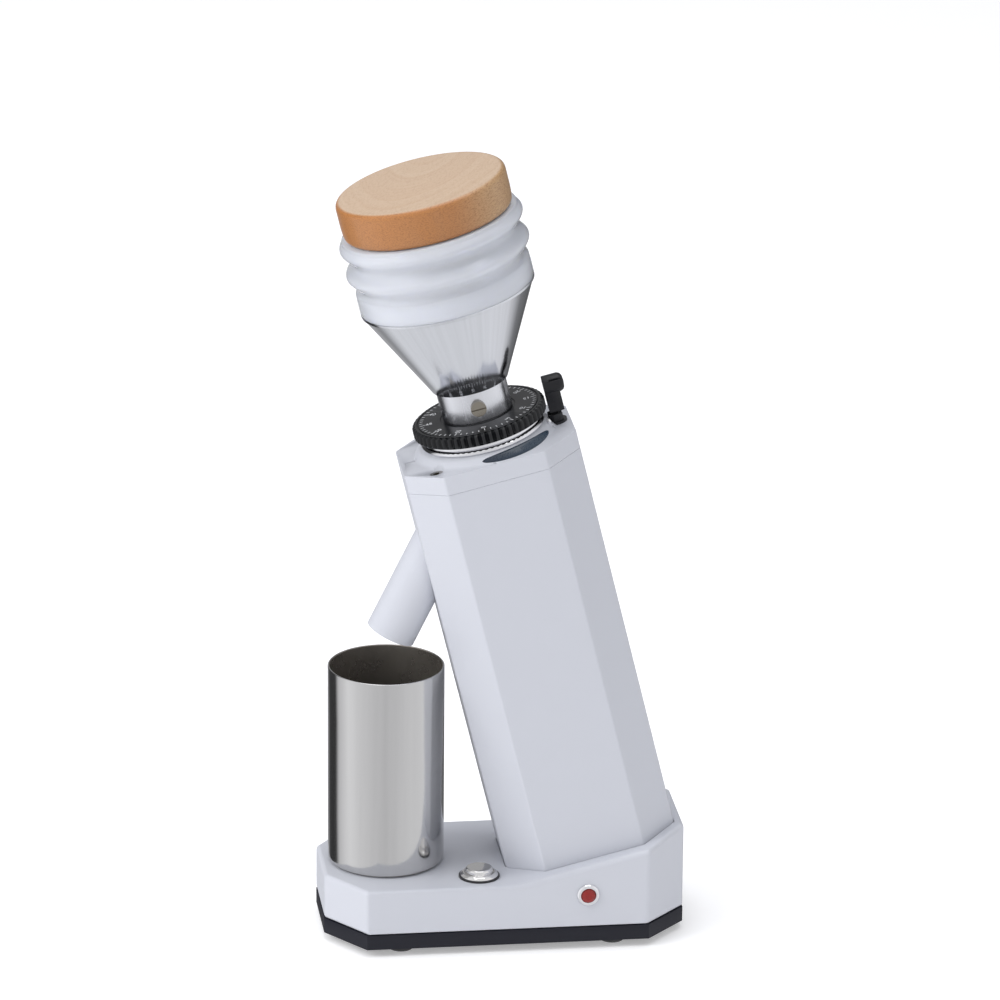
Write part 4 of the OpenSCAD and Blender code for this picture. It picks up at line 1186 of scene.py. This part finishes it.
class GRINDER_OT_funnel(bpy.types.Operator):
    """Neck and polished funnel"""

    bl_idname = "grinder.funnel"
    bl_label = "Neck and funnel"

    def execute(self, context):
        kit = finishes()
        spigot, neck_wall, wall = NECK_R - 1, 2.0, 1.2
        neck = rounded(
            [
                (NECK_R - neck_wall - 0.7, NECK_LOW),
                (spigot, NECK_LOW, 0.2),
                (spigot, DIAL_HIGH),
                (NECK_R - 0.3, DIAL_HIGH, 0.1),
                (NECK_R, DIAL_HIGH + 0.3, 0.2),
                (NECK_R, NECK_HIGH - 6),
                (NECK_R, NECK_HIGH, 0.35),
                (NECK_R - neck_wall, NECK_HIGH, 0.2),
                (NECK_R - neck_wall, NECK_HIGH - 12),
                (NECK_R - neck_wall - 0.7, NECK_HIGH - 12),
            ]
        )
        stands_for(turned("neck_body", neck, kit["brushed"]), "neck_ring", "brushed_alloy")
        top, lip, rim = BELLOWS_LOW - 0.05, FUNNEL_R, FUNNEL_R - 1.6
        low_in, low_out = NECK_R - neck_wall - wall, NECK_R + 1.5
        foot = NECK_HIGH + 0.05
        funnel = rounded(
            [
                (low_in, FUNNEL_LOW),
                (low_in + wall, FUNNEL_LOW),
                (low_in + wall, foot),
                (low_out, foot, 0.35),
                (low_out + 3.1, foot + 6.2),
                (lip - 0.6, top - 1.5),
                (lip, top - 1.3, 0.2),
                (lip, top, 0.4),
                (rim, top),
                (rim, FUNNEL_HIGH, 0.3),
                (rim - wall, FUNNEL_HIGH, 0.3),
                (rim - wall, top - 1.5, 2),
                (low_out - wall, NECK_HIGH + 4, 3),
                (low_in, NECK_HIGH, 2),
            ]
        )
        stands_for(
            turned("funnel_body", funnel, kit["polished"], segments=192),
            "funnel",
            "polished_alloy",
        )
        return {"FINISHED"}


class GRINDER_OT_bellows(bpy.types.Operator):
    """Silicone bellows with two round folds over a sleeve"""

    bl_idname = "grinder.bellows"
    bl_label = "Bellows"

    def execute(self, context):
        sizes = context.scene.grinder_sizes
        wall, pitch, groove_at, steps = 1.4, 0.51, 0.62, 40
        foot, top = BELLOWS_LOW, BELLOWS_HIGH
        sleeve = foot + 9.95
        rise = top - wall - sleeve
        bore = FUNNEL_R - 1.5
        mouth = 36.3

        def fold(s):
            return FUNNEL_R + 0.25 - sizes.fold_depth / 2 * cos(2 * pi * (s - groove_at) / pitch)

        line = [(fold(i / steps), sleeve + rise * i / steps) for i in range(steps + 1)]
        profile = [(bore, foot), (FUNNEL_R - 0.25, foot), (FUNNEL_R, foot + 0.3)]
        profile += [(FUNNEL_R, foot + 3), (FUNNEL_R, foot + 6)]
        profile += line
        profile += [(fold(1) - 0.05, top - 0.5), (fold(1) - 0.5, top)]
        profile += [(mouth, top), (mouth, top - wall)]
        profile += [(r - wall, z) for r, z in reversed(line)]
        profile += [(bore, sleeve)]
        piece = turned(
            "bellows_skin", profile, finishes()["silicone"], segments=160, smooth=50
        )
        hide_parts("bellows")
        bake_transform(piece)
        return {"FINISHED"}


class GRINDER_OT_lid(bpy.types.Operator):
    """Maple lid with rounded edges"""

    bl_idname = "grinder.lid"
    bl_label = "Lid"

    def execute(self, context):
        sizes = context.scene.grinder_sizes
        r, low, high, edge = LID_R, LID_LOW + 5, LID_HIGH, sizes.lid_edge
        plug = 33.0
        profile = rounded(
            [
                (0, LID_LOW),
                (plug, LID_LOW, 0.5),
                (plug, LID_LOW + 1.5),
                (plug - 1.2, LID_LOW + 1.5),
                (plug - 1.2, LID_LOW + 3.5),
                (plug, LID_LOW + 3.5),
                (plug, low),
                (r - 0.6, low, 4.0),
                (r, low + 5.5, 4),
                (r, high - edge - 1),
                (r, high, edge),
                (0, high),
            ],
            8,
        )
        piece = turned("lid_body", profile, finishes()["maple"], close=False, segments=160)
        stands_for(piece, "wood_lid", "maple")
        return {"FINISHED"}


class GRINDER_OT_badge(bpy.types.Operator):
    """Blank enamel badge on the cap's slope"""

    bl_idname = "grinder.badge"
    bl_label = "Badge"

    def execute(self, context):
        foot_r, top_r = COLLAR_R + 5.2, COLLAR_R + 1.2
        foot, rise = COLLAR_LOW - 4.5, 4.5
        middle_turn, half_turn, thick = 27, 36, 0.45
        columns, rows = 49, 9
        points, faces = [], []
        for side in (0, 1):
            for i in range(columns):
                swing = -1 + 2 * i / (columns - 1)
                turn = radians(middle_turn + half_turn * swing)
                half_width = 1.72 * (max(0.0, 1 - swing * swing)) ** 0.5
                for j in range(rows):
                    over = -1 + 2 * j / (rows - 1)
                    r = top_r + 2.05 - over * half_width
                    up = foot + rise * (foot_r - r) / (foot_r - top_r)
                    dome = 0.03 + side * thick * (1 - max(abs(over), abs(swing)) ** 6)
                    lean = (foot_r - top_r) / rise
                    push = dome / (1 + lean * lean) ** 0.5
                    rr, zz = r + push, up + push * lean
                    points.append((rr * cos(turn), rr * sin(turn), zz))
        sheet = columns * rows
        for i in range(columns - 1):
            for j in range(rows - 1):
                a = i * rows + j
                faces.append((sheet + a, sheet + a + rows, sheet + a + rows + 1, sheet + a + 1))
                faces.append((a, a + 1, a + rows + 1, a + rows))
        edge = (
            [i * rows for i in range(columns)]
            + [(columns - 1) * rows + j for j in range(1, rows)]
            + [i * rows + rows - 1 for i in range(columns - 2, -1, -1)]
            + [j for j in range(rows - 2, 0, -1)]
        )
        for a, b in zip(edge, edge[1:] + edge[:1]):
            faces.append((a, b, sheet + b, sheet + a))
        mesh = bpy.data.meshes.new("badge_plate")
        mesh.from_pydata(points, [], faces)
        shape = bmesh.new()
        shape.from_mesh(mesh)
        bmesh.ops.remove_doubles(shape, verts=shape.verts, dist=0.001)
        bmesh.ops.recalc_face_normals(shape, faces=shape.faces)
        shape.to_mesh(mesh)
        shape.free()
        mesh.transform(TOWER)
        piece = finished("badge_plate", mesh, finishes()["badge"], 60)
        stands_for(piece, "name_badge", "badge_blue")
        return {"FINISHED"}


class GRINDER_OT_lever(bpy.types.Operator):
    """Black lever behind the dial, with softened edges"""

    bl_idname = "grinder.lever"
    bl_label = "Lock lever"

    def execute(self, context):
        def soft(edge):
            return 1.0 if edge.is_convex and edge.calc_length() > 0.25 * MM else 0.0

        lever = edged_copy("lever_body", "lock_lever", finishes()["black"], 0.3, soft, 2)
        stands_for(lever, "lock_lever", "black_plastic")
        return {"FINISHED"}


class GRINDER_OT_button(bpy.types.Operator):
    """Chrome push button over its black gasket"""

    bl_idname = "grinder.button"
    bl_label = "Power button"

    def execute(self, context):
        kit = finishes()
        _, cap_high, _ = reach("button_cap", BUTTON_PLACE)
        points = corners("button_cap", BUTTON_PLACE)
        cap_r = np.hypot(points[:, 0], points[:, 1]).max()
        cap_low = points[:, 2].min()
        bezel = corners("button_bezel", BUTTON_PLACE)
        around = np.hypot(bezel[:, 0], bezel[:, 1])
        flange_r, flange_top = around.max(), bezel[:, 2].max()
        flange_low = bezel[around > flange_r - 0.01][:, 2].min()
        cap = rounded(
            [
                (0, cap_low),
                (1.8, cap_low),
                (1.8, cap_low + 3.5),
                (cap_r, cap_low + 3.5),
                (cap_r, cap_high - 0.9, 0.3),
                (cap_r - 0.7, cap_high - 0.12, 0.4),
                (cap_r - 1.7, cap_high, 0.4),
                (0, cap_high),
            ]
        )
        piece = turned("button_top", cap, kit["button_chrome"], BUTTON_PLACE, close=False)
        stands_for(piece, "button_cap", "chrome")
        barrel = cap_r + 1.05
        ring = rounded(
            [
                (cap_r + 0.05, bezel[:, 2].min() + 3),
                (barrel, bezel[:, 2].min() + 3),
                (barrel, flange_low),
                (flange_r, flange_low, 0.15),
                (flange_r, flange_low + 0.5, 0.3),
                (flange_r - 1.2, flange_top - 0.15, 0.5),
                (cap_r + 0.7, flange_top, 0.2),
                (cap_r + 0.35, flange_top - 0.3, 0.1),
                (cap_r + 0.05, flange_top - 0.5),
            ]
        )
        piece = turned("button_flange", ring, kit["button_chrome"], BUTTON_PLACE)
        stands_for(piece, "button_bezel", "chrome")
        return {"FINISHED"}


class GRINDER_OT_lamp(bpy.types.Operator):
    """Faceted red lamp in its chrome ring"""

    bl_idname = "grinder.lamp"
    bl_label = "Lamp"

    def execute(self, context):
        kit = finishes()
        points = corners("lamp_lens", LAMP_PLACE)
        low, high = points[:, 2].min(), points[:, 2].max()
        r = np.hypot(points[:, 0], points[:, 1]).max()
        lens = [
            (0, low),
            (r, low),
            (r, high - 0.95),
            (r - 0.55, high - 0.45),
            (r - 1.6, high - 0.08),
            (0, high),
        ]
        piece = turned(
            "lamp_jewel", lens, kit["lens"], LAMP_PLACE, close=False, segments=12, smooth=5
        )
        stands_for(piece, "lamp_lens", "red_lens")
        bezel = corners("lamp_bezel", LAMP_PLACE)
        ring_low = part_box("base_housing")[1].x / MM
        outer = [p for p in bezel if p[2] > ring_low - 0.01]
        ring_r = max(np.hypot(p[0], p[1]) for p in outer)
        ring = rounded(
            [
                (r + 0.05, low),
                (r + 1, low),
                (r + 1, ring_low),
                (ring_r, ring_low, 0.1),
                (ring_r - 0.1, ring_low + 0.5, 0.4),
                (ring_r - 1.0, bezel[:, 2].max(), 0.6),
                (r + 0.6, bezel[:, 2].max(), 0.35),
                (r + 0.05, bezel[:, 2].max() - 0.55),
            ]
        )
        piece = turned("lamp_ring", ring, kit["lamp_chrome"], LAMP_PLACE, segments=96)
        stands_for(piece, "lamp_bezel", "chrome")
        return {"FINISHED"}


class GRINDER_OT_inner_parts(bpy.types.Operator):
    """Finishes of the pieces that keep their CAD shape"""

    bl_idname = "grinder.inner_parts"
    bl_label = "Carried-over parts"

    def execute(self, context):
        kit = finishes()
        by_slot = {
            "white_paint": "paint",
            "black_plastic": "plastic",
            "dial_black": "dial",
            "rubber": "rubber",
            "screw_steel": "screw",
            "cast_alloy": "cast",
            "chrome": "chrome",
            "brushed_alloy": "brushed",
            "polished_alloy": "polished",
            "cup_steel": "steel",
            "burr_steel": "burr",
            "gear_brass": "brass",
            "silicone": "ring",
            "ring_plastic": "ring",
            "maple": "maple",
            "badge_blue": "badge",
            "red_lens": "lens",
            "board_green": "board",
        }
        for part in frame["record"]["subparts"]:
            node, slot = part["node"], part["material_slot"]
            NODES[node].data.materials.clear()
            NODES[node].data.materials.append(kit[by_slot[slot]])
        for node in ("lever_socket", "lever_pin", "lever_springs", "button_gasket"):
            NODES[node].data.materials[0] = kit["black"]
        NODES["neck_screw"].data.materials[0] = kit["nickel"]
        return {"FINISHED"}


class GRINDER_OT_studio(bpy.types.Operator):
    """Pale floor, soft lights, world and camera"""

    bl_idname = "grinder.studio"
    bl_label = "Studio"

    def execute(self, context):
        scene = context.scene
        mesh = bpy.data.meshes.new("floor")
        span = 6.0
        mesh.from_pydata(
            [(-span, -span, 0), (span, -span, 0), (span, span, 0), (-span, span, 0)],
            [],
            [(0, 1, 2, 3)],
        )
        floor = bpy.data.objects.new("floor", mesh)
        scene.collection.objects.link(floor)
        pale = skin(
            "floor_white",
            (0.86, 0.86, 0.87),
            300.0,
            (0.7, 0.8),
            1e-6,
            0.0,
            0.0,
            Emission_Color=(1, 1, 1, 1),
            Emission_Strength=0.32,
        )
        mesh.materials.append(pale)
        floor.visible_glossy = False

        azimuth, elevation, roll = radians(82.63), radians(19.19), radians(0.49)
        away, target = 3.1274, Vector((0, -0.00084, 0.2222))
        back = Vector(
            (sin(azimuth) * cos(elevation), -cos(azimuth) * cos(elevation), sin(elevation))
        )
        right = Vector((cos(azimuth), sin(azimuth), 0))
        up = back.cross(right)
        right, up = cos(roll) * right + sin(roll) * up, cos(roll) * up - sin(roll) * right
        lens = bpy.data.cameras.new("camera")
        lens.sensor_width = 36
        lens.lens = 228.8
        lens.clip_end = 50
        camera = bpy.data.objects.new("camera", lens)
        scene.collection.objects.link(camera)
        camera.matrix_world = Matrix.Translation(target + back * away) @ Matrix(
            (right, up, back)
        ).transposed().to_4x4()
        scene.camera = camera

        def softbox(name, at, size, power, aim=(0, 0, 0.2)):
            light = bpy.data.lights.new(name, "AREA")
            light.shape = "RECTANGLE"
            light.size, light.size_y = size
            light.energy = power
            holder = bpy.data.objects.new(name, light)
            scene.collection.objects.link(holder)
            holder.location = at
            holder.rotation_euler = (Vector(aim) - Vector(at)).to_track_quat("-Z", "Y").to_euler()
            holder.visible_glossy = False
            return holder

        softbox("key", (0.5, -1.9, 1.5), (1.5, 1.5), 29)
        softbox("top", (-0.1, 0.0, 2.4), (1.8, 1.8), 19).visible_glossy = True
        softbox("side", (2.2, 0.5, 1.2), (0.9, 1.6), 6)
        world_light(scene)
        scene.view_settings.view_transform = "Standard"
        return {"FINISHED"}


def world_light(scene):
    """White for the camera, soft light stronger from the front, and darker bands in reflections."""
    world = bpy.data.worlds.new("studio")
    scene.world = world
    world.use_nodes = True
    tree = world.node_tree
    tree.nodes.clear()
    way = add_node(tree, "ShaderNodeTexCoord").outputs["Generated"]
    part = add_node(tree, "ShaderNodeSeparateXYZ", {"Vector": way}).outputs
    turn = calc(tree, "ARCTAN2", part["Y"], part["X"])
    share = calc(tree, "ADD", calc(tree, "DIVIDE", turn, 2 * pi), 0.5)
    # Degrees round from the camera's side, positive towards the rear of the grinder
    seen = ramp_of(
        tree,
        share,
        [
            (-180, 0.40),
            (-160, 0.42),
            (-147, 0.06),
            (-116, 0.04),
            (-106, 0.75),
            (-78, 1.05),
            (-45, 0.88),
            (0, 0.74),
            (45, 0.86),
            (89, 0.95),
            (118, 0.80),
            (138, 0.22),
            (166, 0.10),
            (176, 0.36),
        ],
    )
    lit = ramp_of(
        tree, share, [(-180, 0.50), (-90, 0.70), (-45, 0.55), (10, 0.43), (90, 0.36), (150, 0.42)]
    )
    steep = rescaled(tree, calc(tree, "ABSOLUTE", part["Z"]), 0.58, 0.86, smooth=True)
    glossy = mix(tree, steep, seen, (0.85, 0.86, 0.88, 1))
    soft = mix(tree, steep, lit, (0.60, 0.61, 0.64, 1))
    ray = add_node(tree, "ShaderNodeLightPath").outputs
    either = mix(tree, ray["Is Glossy Ray"], soft, glossy)
    shown = mix(tree, ray["Is Camera Ray"], either, (1.1, 1.1, 1.1, 1))
    light = add_node(tree, "ShaderNodeBackground", {"Color": shown, "Strength": 1.0})
    leave = tree.nodes.new("ShaderNodeOutputWorld")
    tree.links.new(light.outputs[0], leave.inputs["Surface"])


def ramp_of(tree, share, stops):
    """A ramp of greys round the horizon from (degrees, shade)."""
    camera_at = -7.4
    placed = sorted((((at + camera_at + 180) / 360) % 1.0, shade) for at, shade in stops)
    made = add_node(tree, "ShaderNodeValToRGB", {"Fac": share})
    band = made.color_ramp
    while len(band.elements) < len(placed):
        band.elements.new(0.5)
    for element, (at, shade) in zip(band.elements, placed):
        element.position = at
        element.color = (shade, shade * 1.005, shade * 1.03, 1)
    return made.outputs["Color"]


class GRINDER_PT_panel(bpy.types.Panel):
    """Builds the grinder piece by piece"""

    bl_label = "Coffee grinder"
    bl_idname = "GRINDER_PT_panel"
    bl_space_type = "VIEW_3D"
    bl_region_type = "UI"
    bl_category = "Grinder"

    def draw(self, context):
        for made in OPERATORS:
            self.layout.operator(made.bl_idname)
        for group_of in (context.scene.grinder_sizes, context.scene.grinder_colours):
            box = self.layout.box()
            for name in group_of.__annotations__:
                box.prop(group_of, name)


OPERATORS = (
    GRINDER_OT_inner_parts,
    GRINDER_OT_housing,
    GRINDER_OT_chute,
    GRINDER_OT_cup,
    GRINDER_OT_dial,
    GRINDER_OT_collar,
    GRINDER_OT_funnel,
    GRINDER_OT_bellows,
    GRINDER_OT_lid,
    GRINDER_OT_badge,
    GRINDER_OT_lever,
    GRINDER_OT_button,
    GRINDER_OT_lamp,
    GRINDER_OT_studio,
)
CLASSES = (GrinderSizes, GrinderColours, *OPERATORS, GRINDER_PT_panel)


def register():
    for made in CLASSES:
        bpy.utils.register_class(made)
    bpy.types.Scene.grinder_sizes = PointerProperty(type=GrinderSizes)
    bpy.types.Scene.grinder_colours = PointerProperty(type=GrinderColours)


def unregister():
    del bpy.types.Scene.grinder_colours
    del bpy.types.Scene.grinder_sizes
    for made in reversed(CLASSES):
        bpy.utils.unregister_class(made)


def main():
    register()
    for made in OPERATORS:
        family, name = made.bl_idname.split(".")
        getattr(getattr(bpy.ops, family), name)()


if __name__ == "__main__":
    main()
